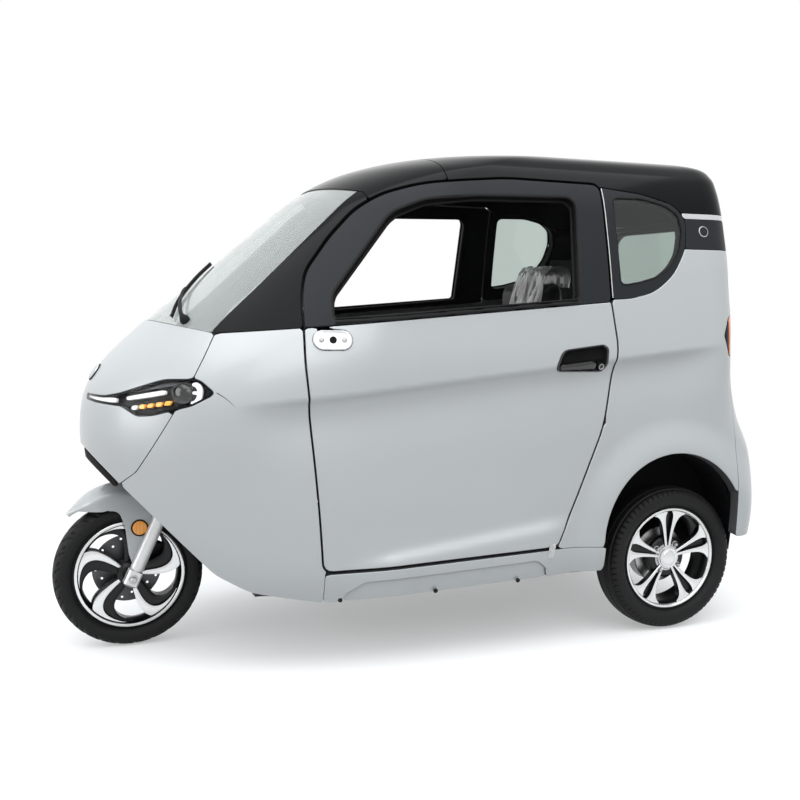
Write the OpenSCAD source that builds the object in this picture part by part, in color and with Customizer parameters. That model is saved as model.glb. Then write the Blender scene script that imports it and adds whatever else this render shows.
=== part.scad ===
// Enclosed three-wheel mobility scooter, in millimetres.
// +X is forward, +Y is left and +Z is up. The origin is on the ground, midway along the length.
// Stations (x) below are measured forward from the rear axle, heights (z) from the ground.

/* [Wheels] */
// Distance between the front and rear axles
wheelbase = 1724; // [1700:1:1740]
// Outside diameter of the front tyre
front_tyre_d = 467; // [455:1:475]
// Width of the front tyre
front_tyre_w = 95; // [80:1:100]
// Outside diameter of the rear tyres
rear_tyre_d = 488; // [475:1:495]
// Width of the rear tyres
rear_tyre_w = 130; // [115:1:135]
// Diameter of the rims at the tyre bead
rim_d = 320; // [300:1:330]
// Distance between the middles of the rear tyres
rear_track = 920; // [900:1:930]
// Diameter of the front brake disc
disc_d = 220; // [180:1:240]

/* [Body] */
// Thickness of the doors and body walls
wall = 42; // [36:1:46]
// Reach of the body behind the rear axle
rear_overhang = 395; // [395:1:400]
// Seam between fixed body panels
seam = 0.3; // [0.2:0.05:0.5]
// Gap round the doors
door_gap = 10; // [8:0.5:11]
// Thickness of the glass
glass = 5; // [4:0.5:6]
// Depth of the glass below the body surface
glass_inset = 3; // [2:0.5:5]
// Height of the middle of the rear arch
arch_z = 340; // [335:1:345]
// Radius of the rear arch
arch_r = 272; // [268:1:280]
// Depth of the hollow under the shoulder crease
crease_depth = 13; // [8:1:16]
// Outward step of the lower ledge
ledge_depth = 12; // [6:1:14]
// Outward flare of the rear arch
flare_depth = 16; // [8:1:20]

/* [Steering] */
// Rake of the steering axis from the vertical
rake = 25; // [24:0.5:26]
// Offset of the front axle ahead of the steering axis
fork_offset = 35; // [30:1:40]
// Distance between the fork legs
fork_gap = 190; // [184:1:200]
// Diameter of the fork's lower legs
fork_leg_d = 44; // [38:1:48]
// Length of the steering column up to the handlebar
column_len = 835; // [800:1:860]
// Width of the handlebar
bar_w = 620; // [560:1:660]

/* [Doors] */
// Station of the door hinge axis
hinge_x = 1197; // [1190:1:1202]
// Distance of the door hinge axis from the centre plane
hinge_y = 528; // [524:1:530]
// Diameter of the hinge pins
pin_d = 8; // [6:1:9]
// Spacing of the two screws of a mirror plate
mirror_screw_pitch = 65; // [55:1:75]
// Diameter of the screw holes of a mirror plate
mirror_screw_d = 6.5; // [5:0.5:8]

/* [Hidden] */
$fn = 64;

rear_axle_x = rear_overhang - (rear_overhang + wheelbase + front_tyre_d / 2) / 2;
front_axle_z = front_tyre_d / 2;
rear_axle_z = rear_tyre_d / 2;
run_fit = 0.05;
seat_gap = 0.3;
far = 3000;
mid_x = 240;
rear_reach = 900;
// Stations ahead of the seat move with the front axle
drawn_wheelbase = 1724;
front_shift = wheelbase - drawn_wheelbase;
stretch_from = 480;
stretch_len = 520;

silver = "#b9bfc6";
gloss_black = "#111214";
satin_black = "#2a2c2f";
dark = "#1b1b1c";
tint = "#3a444c";

// Body sections: height, front, rear, half width, length of the nose curve, length of the rear corner
body_rows = [
  [180, 1700, -330, 520, 640, 160],
  [300, 1760, -375, 552, 690, 170],
  [450, 1825, -rear_overhang + 2, 563, 740, 180],
  [600, 1855, -rear_overhang + 5, 562, 760, 190],
  [720, 1862, -358, 562, 770, 190],
  [830, 1838, -325, 562, 760, 190],
  [930, 1755, -308, 556, 700, 190],
  [1040, 1645, -302, 540, 640, 190],
  [1150, 1520, -298, 522, 580, 185],
  [1250, 1400, -292, 504, 520, 180],
  [1350, 1275, -280, 482, 450, 175],
  [1430, 1165, -272, 460, 390, 170],
  [1495, 1045, -262, 430, 330, 165],
  [1540, 925, -245, 394, 290, 155],
  [1575, 765, -205, 340, 260, 150],
  [1594, 570, -110, 240, 220, 140],
  [1600, 420, 60, 120, 120, 90]
];
side_bow = 0.015;
corner_power = 3.2;

// Shoulder crease, lower ledge and arch: places of the side's forms
crease_front = [1272, 823];
crease_slope = 0.1;
crease_fade = [1480, 1300, 300, -150];
undercut_h = 60;
ledge_front = [1230, 345];
ledge_slope = 0.116;
ledge_fade = [1330, 1180, 520, 380];
ledge_h = 50;
arch_x = 23;
flare_w = 75;
arch_steps = 56;

function clamp01(t) = max(0, min(1, t));
function moved(x) = x + front_shift * clamp01((x - stretch_from) / stretch_len);
function ease(t) = let (c = clamp01(t)) c * c * (3 - 2 * c);
function fade(x, f) = ease((f[0] - x) / (f[0] - f[1])) * ease((x - f[3]) / (f[2] - f[3]));
function crease_form(x, z) =
  let (s = max(0, (crease_front[1] + (crease_front[0] - x) * crease_slope - z) / undercut_h))
  -crease_depth * s * exp(1 - s) * fade(x, crease_fade);
function ledge_form(x, z) =
  let (top = ledge_front[1] + (ledge_front[0] - x) * ledge_slope)
  ledge_depth * ease((top - z) / ledge_h) * fade(x, ledge_fade);
function flare_form(x, z) =
  flare_depth * ease(1 - (norm([x - arch_x, max(0, z - arch_z)]) - arch_r) / flare_w);
function side_form(x, z) = crease_form(x, z) + ledge_form(x, z) + flare_form(x, z);

// Smooth run through the table of sections
function blend4(a, b, c, d, t) =
  0.5 * (2 * b + (c - a) * t + (2 * a - 5 * b + 4 * c - d) * t * t + (3 * b - a - 3 * c + d) * t * t * t);
function body_row(i) = body_rows[max(0, min(len(body_rows) - 1, i))];
function section(s) =
  let (i = min(floor(s), len(body_rows) - 2))
  blend4(body_row(i - 1), body_row(i), body_row(i + 1), body_row(i + 2), s - i);

// Left half of a section, from the nose round the side to the tail
function half_ring(v, nose, side, tail) =
  let (z = v[0], x0 = v[1] + front_shift - v[4], x1 = v[2] + v[5])
  let (w1 = v[3] * (1 - side_bow), k = 2 / corner_power)
  [
    for (i = [0:nose - 1]) let (a = 90 * i / nose) [x0 + v[4] * cos(a), v[3] * sin(a), z],
    for (i = [0:side])
      let (t = i / side, x = x0 + (x1 - x0) * t)
      [x, v[3] * (1 - side_bow * t * t), z],
    for (i = [1:tail])
      let (a = 90 * i / tail)
      [x1 - v[5] * pow(sin(a), k), w1 * pow(cos(a), k), z]
  ];
function formed(p, w) = [p[0], p[1] + side_form(p[0], p[2]) * ease(p[1] / w * 2 - 0.9), p[2]];
function full_ring(half) =
  concat(half, [for (i = [len(half) - 2:-1:1]) [half[i][0], -half[i][1], half[i][2]]]);
function body_grid(levels, nose, side, tail) =
  [
    for (l = [0:levels])
      let (v = section(l * (len(body_rows) - 1) / levels))
      full_ring([for (p = half_ring(v, nose, side, tail)) formed(p, v[3])])
  ];
function unit(v) = v / max(norm(v), 0.001);
function grid_normal(g, l, j) =
  let (n = len(g[0]), up = g[min(l + 1, len(g) - 1)][j] - g[max(l - 1, 0)][j])
  unit(cross(g[l][(j + 1) % n] - g[l][(j + n - 1) % n], up));

// Steps of the body surface: levels, nose, side and tail
fine_grid = [20, 9, 15, 5];
wall_grid = [12, 6, 8, 4];
inner_drop = 100;

// Body surface set in by a depth, closed at its top and bottom
module body_solid(inset, grid = fine_grid) {
  levels = grid[0];
  g = body_grid(levels, grid[1], grid[2], grid[3]);
  n = len(g[0]);
  drop = inset > 0 ? inner_drop : 0;
  ring = [
    for (l = [0:levels], j = [0:n - 1])
      g[l][j] - grid_normal(g, l, j) * inset - [0, 0, l == 0 ? drop : 0]
  ];
  low = [mid_x, 0, g[0][0][2] - drop];
  high = [mid_x, 0, g[levels][0][2] - inset];
  last = levels * n;
  // The facets of the right half mirror those of the left half
  faces = concat(
    [
      for (l = [0:levels - 1], j = [0:n - 1])
        let (a = l * n + j, b = l * n + (j + 1) % n)
        [a, a + n, j < n / 2 ? b : b + n]
    ],
    [
      for (l = [0:levels - 1], j = [0:n - 1])
        let (a = l * n + j, b = l * n + (j + 1) % n)
        [b, j < n / 2 ? a + n : a, b + n]
    ],
    [for (j = [0:n - 1]) [j, (j + 1) % n, last + n]],
    [for (j = [0:n - 1]) [last + (j + 1) % n, last + j, last + n + 1]]
  );
  polyhedron(concat(ring, [low, high]), faces, convexity = 10);
}
module body_shell() {
  difference() {
    body_solid(0);
    body_solid(wall, wall_grid);
  }
}
// Thin layer between two depths
module body_layer(outer, inner) {
  difference() {
    body_solid(outer);
    body_solid(inner);
  }
}
// Inside of the cabin, clear of the walls
module cabin_space() body_solid(wall + seat_gap, wall_grid);
// One mesh of flat facets, at its own size
module facet_mesh() resize([0, 0, 0]) children();
module in_frame() translate([rear_axle_x, 0, 0]) children();
module both_sides() {
  children();
  mirror([0, 1, 0]) children();
}

// Outlines: corners as x, z and radius
corner_steps = 3;
function corner_arc(a, b, c, r, n) =
  let (u = unit(a - b), v = unit(c - b), half = acos(max(-1, min(1, u * v))) / 2)
  half > 89.5 || r <= 0 ? [b] :
  let (t = r / tan(half), m = b + unit(u + v) * r / sin(half), s = b + u * t, e = b + v * t)
  let (a0 = atan2(s[1] - m[1], s[0] - m[0]), a1 = atan2(e[1] - m[1], e[0] - m[0]))
  let (d = a1 - a0 > 180 ? a1 - a0 - 360 : a1 - a0 < -180 ? a1 - a0 + 360 : a1 - a0)
  [for (i = [0:n]) let (w = a0 + d * i / n) m + r * [cos(w), sin(w)]];
function rounded(p, n = corner_steps) =
  [
    for (i = [0:len(p) - 1])
      let (a = p[(i + len(p) - 1) % len(p)], b = p[i], c = p[(i + 1) % len(p)])
      each corner_arc([a[0], a[1]], [b[0], b[1]], [c[0], c[1]], b[2], n)
  ];
module grown(outline, grow) {
  if (grow == 0) polygon(outline);
  else offset(delta = grow) polygon(outline);
}
// Prism along Y over a side view outline, on the left side unless told otherwise
module side_prism(outline, grow = 0, from = 0, to = far) {
  translate([0, to, 0])
    rotate([90, 0, 0])
      linear_extrude(to - from)
        grown([for (p = outline) [moved(p[0]), p[1]]], grow);
}
module through_prism(outline, grow = 0) side_prism(outline, grow, -far, far);
belt_front = [1273, 1029];
belt_slope = 0.0801;
function belt(x) = belt_front[1] + (belt_front[0] - x) * belt_slope;

door_outline = rounded([
  [1230, 311, 25], [1279, 930, 700], [1270, 1120, 300], [1246, 1196, 150], [1164, 1300, 600],
  [1080, 1386, 300], [1001, 1434, 300], [883, 1469, 600], [600, 1495, 900], [268, 1490, 25],
  [264, 1110, 100], [247, 960, 220], [300, 712, 500], [466, 334, 25]
]);
window_outline = rounded([
  [1192, 1054, 14], [1188, 1128, 70], [990, 1378, 130], [880, 1422, 200], [700, 1438, 500], [362, 1446, 38],
  [378, 1117, 16]
]);
trim_outline = rounded([
  [259, 1118, 12], [263, 1482, 8], [110, 1466, 300], [-10, 1436, 90], [-52, 1385, 60], [-42, 1290, 150],
  [14, 1202, 200], [92, 1144, 200], [180, 1122, 300]
]);
pane_outline = rounded([
  [226, 1449, 18], [110, 1451, 150], [20, 1430, 100], [-24, 1400, 40], [-33, 1345, 80], [-16, 1278, 120],
  [24, 1228, 120], [78, 1193, 150], [150, 1174, 200], [200, 1166, 60], [224, 1168, 16]
]);
below_belt = [[-far, 0], [far, 0], [far, belt(far)], [-far, belt(-far)]];

// Front of the car: cowl and header planes, nose seam and leading edge
cowl = [1510, 1011];
cowl_slope = 0.23;
header = [1041, 1443];
header_slope = 0.3;
function cowl_z(x) = cowl[1] + (x - cowl[0]) * cowl_slope;
function header_z(x) = header[1] + (x - header[0]) * header_slope;
pillar_foot_y = 361;
pillar_head_y = 311;
nose_corner = [1775, 560];
nose_lip = [1855, 648];
nose_knee = [1734, 602];
front_sill_x = 1226;
sill_top = [[front_sill_x, 301], [470, 324], [290, 318]];
sill_low = [[front_sill_x, 213], [520, 236], [290, 238]];
quarter_front_x = 480;
quarter_front_z =
  sill_top[1][1]
  + (sill_top[0][1] - sill_top[1][1]) * (quarter_front_x - sill_top[1][0]) / (front_sill_x - sill_top[1][0]);
band_low = 1288;
band_high = 1408;
tail_seam_x = -225;
tail_low = 312;

nose_outline = [
  cowl, nose_knee, nose_corner, nose_lip, [nose_lip[0] + 200, nose_lip[1] + 220], [2100, 1100],
  [2000, cowl_z(2000)]
];
quarter_lead = rounded([
  [nose_corner[0], nose_corner[1], 0], [1528, 300, 120], [1430, 246, 160], [front_sill_x, sill_low[0][1], 0],
  [front_sill_x, sill_top[0][1], 0], [1200, 400, 0], [1200, belt(1200), 0], [cowl[0], cowl[1], 0],
  [nose_knee[0], nose_knee[1], 0]
]);
pillar_outline = [
  cowl, [cowl[0] + 300, cowl_z(cowl[0] + 300)], [header[0] + 300, header_z(header[0] + 300)], header,
  [header[0] - 8, 1398], [header[0] - 60, 1398], [1200, 1150], [1200, belt(1200)]
];
screen_side = [
  cowl, [far, cowl_z(far)], [far, header_z(far)], header, [header[0] - 200, header_z(header[0] - 200)],
  [cowl[0] - 200, cowl_z(cowl[0] - 200)]
];
screen_front = [
  [-pillar_foot_y, cowl[1] - 20], [pillar_foot_y, cowl[1] - 20], [pillar_head_y, header[1]],
  [pillar_head_y - 3, header[1] + 120], [-pillar_head_y + 3, header[1] + 120], [-pillar_head_y, header[1]]
];
roof_outline = [
  [far, header_z(far)], header, [header[0] - 8, 1398], [900, 1398], [900, 1440], [300, 1440], [100, 1420],
  [-20, band_high], [-far, band_high], [-far, far], [far, far]
];
rear_quarter_outline = [
  sill_top[1], [quarter_front_x, quarter_front_z], [quarter_front_x, 600], [290, 720], [264, belt(264)],
  [258, 1116], [100, 1300], [-10, band_low], [tail_seam_x, band_low], [tail_seam_x, tail_low],
  [arch_x, tail_low - 40], sill_top[2]
];
band_outline = [[-10, band_low], [-10, band_high], [-far, band_high], [-far, band_low]];
rear_window_outline = rounded([
  [-350, 985, 50], [350, 985, 50], [318, 1375, 60], [-318, 1375, 60]
]);

module door_cut() side_prism(door_outline, door_gap);
module arch_cut() {
  translate([arch_x, far, arch_z]) rotate([90, 0, 0]) cylinder(r = arch_r, h = far, $fn = arch_steps);
  translate([arch_x - arch_r, 0, 0]) cube([2 * arch_r, far, arch_z]);
}
module windscreen_cut(grow) {
  intersection() {
    through_prism(screen_side, grow);
    translate([600, 0, 0]) rotate([90, 0, 90]) linear_extrude(far) grown(screen_front, grow);
  }
}
module rear_window_cut(grow) {
  translate([-rear_reach, 0, 0])
    rotate([90, 0, 90])
      linear_extrude(rear_reach)
        grown(rear_window_outline, grow);
}

// Headlamps: outline seen along a direction between ahead and the side, as distance across and height
lamp_turn = 42;
lamp_outline = rounded([
  [-1196, 819, 4], [-1075, 820, 250], [-1005, 832, 250], [-848, 878, 160], [-737, 881, 50], [-681, 840, 10],
  [-755, 798, 100], [-915, 775, 90], [-998, 796, 70], [-1127, 798, 200], [-1196, 803, 4]
]);
lamp_inset = 1;
lamp_depth = 60;
lamp_back_x = 1400;
module lamp_prism(grow) {
  translate([front_shift, 0, 0]) intersection() {
    rotate([0, 0, lamp_turn])
      rotate([90, 0, 90])
        linear_extrude(far)
          grown(lamp_outline, grow);
    translate([lamp_back_x, seam, 0]) cube([far, far, far]);
  }
}

// Tail lamps: outline seen from the side
tail_lamp_outline = rounded([
  [-178, 1000, 15], [-207, 1062, 10], [-330, 1062, 0], [-330, 930, 0], [-207, 930, 10]
]);
tail_lamp_y = 440;

module nose_panel() color(silver) facet_mesh() difference() {
  intersection() {
    body_shell();
    through_prism(nose_outline, -seam / 2);
  }
  windscreen_cut(seam / 2);
  both_sides() lamp_prism(seam);
  both_sides() side_prism(pillar_outline, seam / 2);
}
module front_quarters() color(silver) facet_mesh() both_sides() difference() {
  intersection() {
    body_shell();
    side_prism(quarter_lead, -seam / 2);
  }
  door_cut();
  lamp_prism(seam);
  windscreen_cut(seam / 2);
}
module sills() color(silver) facet_mesh() both_sides() difference() {
  intersection() {
    body_shell();
    side_prism(concat(sill_top, [for (i = [2:-1:0]) sill_low[i]]), -seam / 2);
  }
  door_cut();
}
module rear_quarters() color(silver) facet_mesh() both_sides() difference() {
  intersection() {
    body_shell();
    side_prism(rear_quarter_outline, -seam / 2);
  }
  door_cut();
  arch_cut();
  side_prism(trim_outline, seam / 2);
  side_prism(tail_lamp_outline, seam);
}
module tail_panel() color(silver) facet_mesh() difference() {
  intersection() {
    body_shell();
    translate([-far, -far, tail_low]) cube([far + tail_seam_x - seam, 2 * far, band_low - seam - tail_low]);
  }
  rear_window_cut(seam);
  both_sides() side_prism(tail_lamp_outline, seam, tail_lamp_y);
}
module rear_band() color(gloss_black) facet_mesh() difference() {
  intersection() {
    body_shell();
    through_prism(band_outline, -seam / 2);
  }
  both_sides() side_prism(trim_outline, seam / 2);
  rear_window_cut(seam);
}
module roof() color(gloss_black) facet_mesh() difference() {
  intersection() {
    body_shell();
    through_prism(roof_outline, -seam / 2);
  }
  both_sides() door_cut();
  both_sides() side_prism(trim_outline, seam / 2);
  windscreen_cut(seam / 2);
}
module a_pillars() color(gloss_black) facet_mesh() both_sides() difference() {
  intersection() {
    body_shell();
    side_prism(pillar_outline, -seam / 2);
  }
  door_cut();
  windscreen_cut(seam / 2);
}
module windscreen() color(tint) facet_mesh() intersection() {
  body_layer(glass_inset, glass_inset + glass);
  windscreen_cut(-seam / 2);
}
module quarter_trims() color(satin_black) facet_mesh() both_sides() difference() {
  intersection() {
    body_shell();
    side_prism(trim_outline, -seam / 2);
  }
  side_prism(pane_outline);
  door_cut();
}
module quarter_glass() color(tint) facet_mesh() both_sides() intersection() {
  body_layer(glass_inset, glass_inset + glass);
  side_prism(pane_outline, -seam);
}
module rear_window() color(tint) facet_mesh() intersection() {
  body_layer(glass_inset, glass_inset + glass);
  rear_window_cut(-seam / 2);
}
module headlamps() color("#20242a") facet_mesh() both_sides() intersection() {
  body_layer(lamp_inset, lamp_depth);
  lamp_prism(0);
}
module tail_lamps() color("#b02a1e") facet_mesh() both_sides() intersection() {
  body_shell();
  side_prism(tail_lamp_outline, 0, tail_lamp_y + seam);
}

// Doors
hinge_at = hinge_x + front_shift;
hinge_heights = [420, 830];
pocket_h = 66;
pocket_skin = 8;
knuckle_d = pin_d + 6;
knuckle_h = [-8, 28];
knuckle_gap = 9;
arm_h = [-28, -9];
pocket_back = hinge_at - knuckle_d / 2 - knuckle_gap;
mirror_at = [1198 + front_shift, 994];
mirror_size = [112, 56];
mirror_rise = 5;
mirror_hole_d = 16;
mirror_sink = 4;
handle_outline = rounded([[466, 958, 30], [296, 972, 20], [284, 905, 16], [300, 890, 16], [470, 890, 14]]);
handle_sink = 22;
handle_rise = 2;
handle_rim = 3;
module mirror_outline(grow = 0) {
  for (s = [-1, 1])
    translate([mirror_at[0] + s * (mirror_size[0] - mirror_size[1]) / 2, mirror_at[1]])
      circle(d = mirror_size[1] + 2 * grow, $fn = 32);
  translate([mirror_at[0], mirror_at[1]])
    square([mirror_size[0] - mirror_size[1], mirror_size[1] + 2 * grow], center = true);
}
module mirror_prism(grow = 0) {
  translate([0, far, 0]) rotate([90, 0, 0]) linear_extrude(far) mirror_outline(grow);
}
module door_body() intersection() {
  body_shell();
  side_prism(door_outline);
}
module hinge_pockets() intersection() {
  body_solid(pocket_skin);
  for (z = hinge_heights)
    translate([pocket_back, hinge_y - far, z - pocket_h / 2]) cube([far, 2 * far, pocket_h]);
}
module mirror_seat() difference() {
  mirror_prism(seam);
  body_solid(mirror_sink);
}
module handle_seat(grow = 0) difference() {
  side_prism(handle_outline, grow);
  body_solid(handle_sink + grow);
}
// Screw holes and cable hole of a mirror, through the plate and the door
module mirror_holes() {
  for (s = [-1, 1])
    translate([mirror_at[0] + s * mirror_screw_pitch / 2, far, mirror_at[1]])
      rotate([90, 0, 0])
        cylinder(d = mirror_screw_d, h = far);
  translate([mirror_at[0], far, mirror_at[1]]) rotate([90, 0, 0]) cylinder(d = mirror_hole_d, h = far);
}
module door() color(silver) difference() {
  facet_mesh() difference() {
    door_body();
    side_prism([[-far, belt(-far)], [far, belt(far)], [far, far], [-far, far]], seam / 2);
    hinge_pockets();
    mirror_seat();
    handle_seat(seam);
  }
  mirror_holes();
}
module door_frame() color(satin_black) facet_mesh() difference() {
  door_body();
  side_prism(below_belt, seam / 2);
  side_prism(window_outline);
}
module door_handle() color(dark) facet_mesh() difference() {
  intersection() {
    body_layer(-handle_rise, handle_sink);
    side_prism(handle_outline);
  }
  difference() {
    side_prism(handle_outline, -handle_rim);
    body_solid(handle_sink - handle_rim);
  }
}
module mirror_plate() color("#c8ccd0") difference() {
  facet_mesh() intersection() {
    body_layer(-mirror_rise, mirror_sink - seam);
    mirror_prism();
  }
  mirror_holes();
}
module door_knuckles() color("#77797c") {
  for (z = hinge_heights)
    translate([hinge_at, hinge_y, z]) difference() {
      union() {
        translate([0, 0, knuckle_h[0]]) cylinder(d = knuckle_d, h = knuckle_h[1] - knuckle_h[0]);
        translate([pocket_back - hinge_at + seam, -knuckle_d / 2, knuckle_h[0]])
          cube([hinge_at - pocket_back - seam, knuckle_d / 2, knuckle_h[1] - knuckle_h[0]]);
      }
      translate([0, 0, knuckle_h[0] - 1]) cylinder(d = pin_d + 2 * run_fit, h = pocket_h);
    }
}
// Gooseneck arms, so that the front edge of the door swings in behind them
arm_in = 92;
arm_w = 11;
pin_end = 5;
arm_front_x = 1335 + front_shift;
module hinge_arm(z) {
  translate([hinge_at, hinge_y, z + arm_h[0]]) cylinder(d = pin_d, h = pocket_h / 2 - pin_end - arm_h[0]);
  translate([0, 0, z + arm_h[0]]) linear_extrude(arm_h[1] - arm_h[0]) {
    translate([hinge_at - arm_w / 2, hinge_y - arm_in]) square([arm_w, arm_in]);
    translate([hinge_at - arm_w / 2, hinge_y - arm_in]) square([arm_front_x - hinge_at, arm_w]);
  }
  facet_mesh() intersection() {
    cabin_space();
    translate([arm_front_x - arm_w, hinge_y - arm_in, z + arm_h[0]]) cube([arm_w, far, arm_h[1] - arm_h[0]]);
  }
}
module door_hinges() color("#5c5e60") both_sides() for (z = hinge_heights) hinge_arm(z);

// Chassis frame: two rails that rise over the rear axle, cross members and the steering head
rail_y = 230;
rail_w = 40;
rail_h = 50;
rear_rail_h = 45;
floor_z = 228;
rear_floor_z = 375;
floor_t = 12;
kick = [340, 260];
rail_front = 1370;
rail_rear = -300;
rail_outline = [
  [rail_front, floor_z - rail_h], [rail_front, floor_z], [kick[0], floor_z], [kick[1], rear_floor_z],
  [rail_rear, rear_floor_z], [rail_rear, rear_floor_z - rear_rail_h],
  [kick[1] - 25, rear_floor_z - rear_rail_h], [kick[0] - 20, floor_z - rail_h]
];
// Cross members: station of the middle, drop below the rails' top
cross_drop = 40;
cross_size = [36, 32];
low_cross = floor_z - cross_drop;
high_cross = rear_floor_z - cross_drop;
front_cross = 1335 + front_shift;
cross_members = [
  [front_cross, low_cross], [800, low_cross], [380, low_cross], [150, high_cross], [-282, high_cross]
];
steer_base = [wheelbase - fork_offset * cos(rake), 0, front_axle_z - fork_offset * sin(rake)];
head_low = 330;
head_high = 470;
head_join = 375;
stem_d = 34;
head_d = 58;
backbone_w = 60;
backbone_foot = [front_cross, 1400 + front_shift];
module steer_frame() translate(steer_base) rotate([0, -rake, 0]) children();
function on_head(x, z) =
  [steer_base[0] + x * cos(rake) - z * sin(rake), steer_base[2] + x * sin(rake) + z * cos(rake)];
backbone_outline = [
  [backbone_foot[0], low_cross], [backbone_foot[0], low_cross + cross_size[1]],
  on_head(-head_d / 3, head_high - seat_gap), on_head(-head_d / 3, head_join), [backbone_foot[1], low_cross]
];
module frame() color("#26282a") {
  difference() {
    union() {
      both_sides() side_prism(rail_outline, 0, rail_y - rail_w / 2, rail_y + rail_w / 2);
      for (c = cross_members)
        translate([c[0] - cross_size[0] / 2, -rail_y, c[1]])
          cube([cross_size[0], 2 * rail_y, cross_size[1]]);
      translate([0, backbone_w / 2, 0])
        rotate([90, 0, 0])
          linear_extrude(backbone_w)
            polygon(backbone_outline);
      steer_frame() translate([0, 0, head_low]) cylinder(d = head_d, h = head_high - head_low);
    }
    steer_frame() translate([0, 0, head_low - head_d]) cylinder(d = stem_d + 2 * run_fit, h = head_high);
  }
}

// Wheelhouses over the rear wheels
house_side = 41;
house_in = rear_track / 2 - rear_tyre_w / 2 - house_side;
house_t = 6;
house_room = 30;
house_r = rear_tyre_d / 2 + house_room;
house_low = 250;
axle_notch = [70, 330];
module house_shape(grow) {
  translate([arch_x, arch_z]) circle(r = house_r + grow, $fn = arch_steps);
  translate([arch_x - house_r - grow, house_low])
    square([2 * (house_r + grow), arch_z - house_low]);
}
module house_prism(grow, from, to) {
  translate([0, to, 0]) rotate([90, 0, 0]) linear_extrude(to - from) house_shape(grow);
}
module wheelhouses() color(dark) facet_mesh() both_sides() intersection() {
  cabin_space();
  difference() {
    house_prism(house_t, house_in, far);
    house_prism(0, house_in + house_t, far + 1);
    translate([-axle_notch[0], 0, 0]) cube([2 * axle_notch[0], far, axle_notch[1]]);
    translate([-far, 0, 0]) cube([2 * far, far, house_low]);
  }
}
floor_front = 1380;
floor_notch_x = 1312 + front_shift;
floor_miter = 7;
floor_rear = -300;
module floor_pan() color("#3a3c3e") facet_mesh() difference() {
  intersection() {
    cabin_space();
    through_prism([
      [floor_front - seam, floor_z], [kick[0], floor_z], [kick[1], rear_floor_z], [floor_rear, rear_floor_z],
      [floor_rear, rear_floor_z + floor_t], [kick[1] + floor_miter, rear_floor_z + floor_t],
      [kick[0] + floor_miter, floor_z + floor_t], [floor_front - seam, floor_z + floor_t]
    ]);
  }
  both_sides() house_prism(house_t + seam, house_in - seam, far);
  translate([floor_notch_x, -bulkhead_slot, 0]) cube([far, 2 * bulkhead_slot, far]);
}
bulkhead_slot = 45;
bulkhead_t = 8;
bulkhead_knee = [1405, 640];
dash_low = 930;
module front_bulkheads() color(dark) facet_mesh() both_sides() intersection() {
  cabin_space();
  side_prism([
    [floor_front, floor_z], [floor_front + bulkhead_t, floor_z],
    [bulkhead_knee[0] + bulkhead_t, bulkhead_knee[1]],
    [bulkhead_knee[0] + bulkhead_t, dash_low - seam], [bulkhead_knee[0], dash_low - seam], bulkhead_knee
  ], 0, bulkhead_slot);
}
dash_rear = 1396;
dash_top = 1000;
dash_lip = 962;
module dashboard() color(dark) facet_mesh() intersection() {
  cabin_space();
  through_prism(rounded([
    [dash_rear + 8, dash_low, 10], [dash_rear, dash_lip, 14], [dash_rear + 12, dash_top, 16],
    [far, dash_top + 20, 0], [far, dash_low, 0]
  ]));
}

// Seats
seat_z = 470;
bench_z = 540;
base_wall = 8;
floor_top = floor_z + floor_t;
rear_floor_top = rear_floor_z + floor_t;
driver_base = [[352, -190], [800, 190]];
bench_side = 14;
bench_base = [[-262, bench_side - house_in], [150, house_in - bench_side]];
module seat_box(at, low, high) {
  size = at[1] - at[0];
  t = base_wall;
  translate([at[0][0], at[0][1], low]) difference() {
    cube([size[0], size[1], high - low]);
    translate([t, t, -1]) cube([size[0] - 2 * t, size[1] - 2 * t, high - low - t + 1]);
  }
}
module seat_base() color(dark) {
  seat_box(driver_base, floor_top, seat_z);
  seat_box(bench_base, rear_floor_top, bench_z);
}
battery_size = [380, 320, 190];
battery_x = 400;
module battery() color("#303234")
  translate([battery_x, -battery_size[1] / 2, floor_top]) cube(battery_size);
// Cushions and backs: corners as x, height above the base and radius, with half the width
driver_cushion = [[400, 0, 20], [860, 0, 30], [868, 90, 40], [400, 85, 30]];
driver_back = [[334, 0, 15], [398, 0, 15], [398, 170, 60], [305, 740, 35], [232, 740, 35]];
driver_half = [205, 200];
bench_cushion = [[-178, 0, 15], [170, 0, 25], [176, 90, 35], [-178, 85, 25]];
bench_back = [[-262, 0, 12], [-182, 0, 12], [-166, 420, 30], [-230, 420, 25]];
cushion_side = 19;
bench_half = [house_in - cushion_side, house_in - cushion_side];
module seat_slab(outline, half, low) {
  translate([0, half, low + seat_gap]) rotate([90, 0, 0]) linear_extrude(2 * half) polygon(rounded(outline));
}
module driver_seat() color("#1d1d1f") {
  seat_slab(driver_cushion, driver_half[0], seat_z);
  seat_slab(driver_back, driver_half[1], seat_z);
}
module rear_bench() color("#1d1d1f") {
  seat_slab(bench_cushion, bench_half[0], bench_z);
  seat_slab(bench_back, bench_half[1], bench_z);
}
wiper_pivot = [250, 1047];
wiper_end = [65, 1136];
wiper_blade = [[190, 1052], [-60, 1220]];
wiper_w = 12;
wiper_high = 16;
wiper_gap = 8;
wiper_boss_d = 24;
blade_w = 9;
blade_high = 9;
module wiper_strip(a, b, w) hull() {
  translate(a) circle(d = w, $fn = 16);
  translate(b) circle(d = w, $fn = 16);
}
module wiper_prism() translate([1000, 0, 0]) rotate([90, 0, 90]) linear_extrude(far) children();
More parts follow.
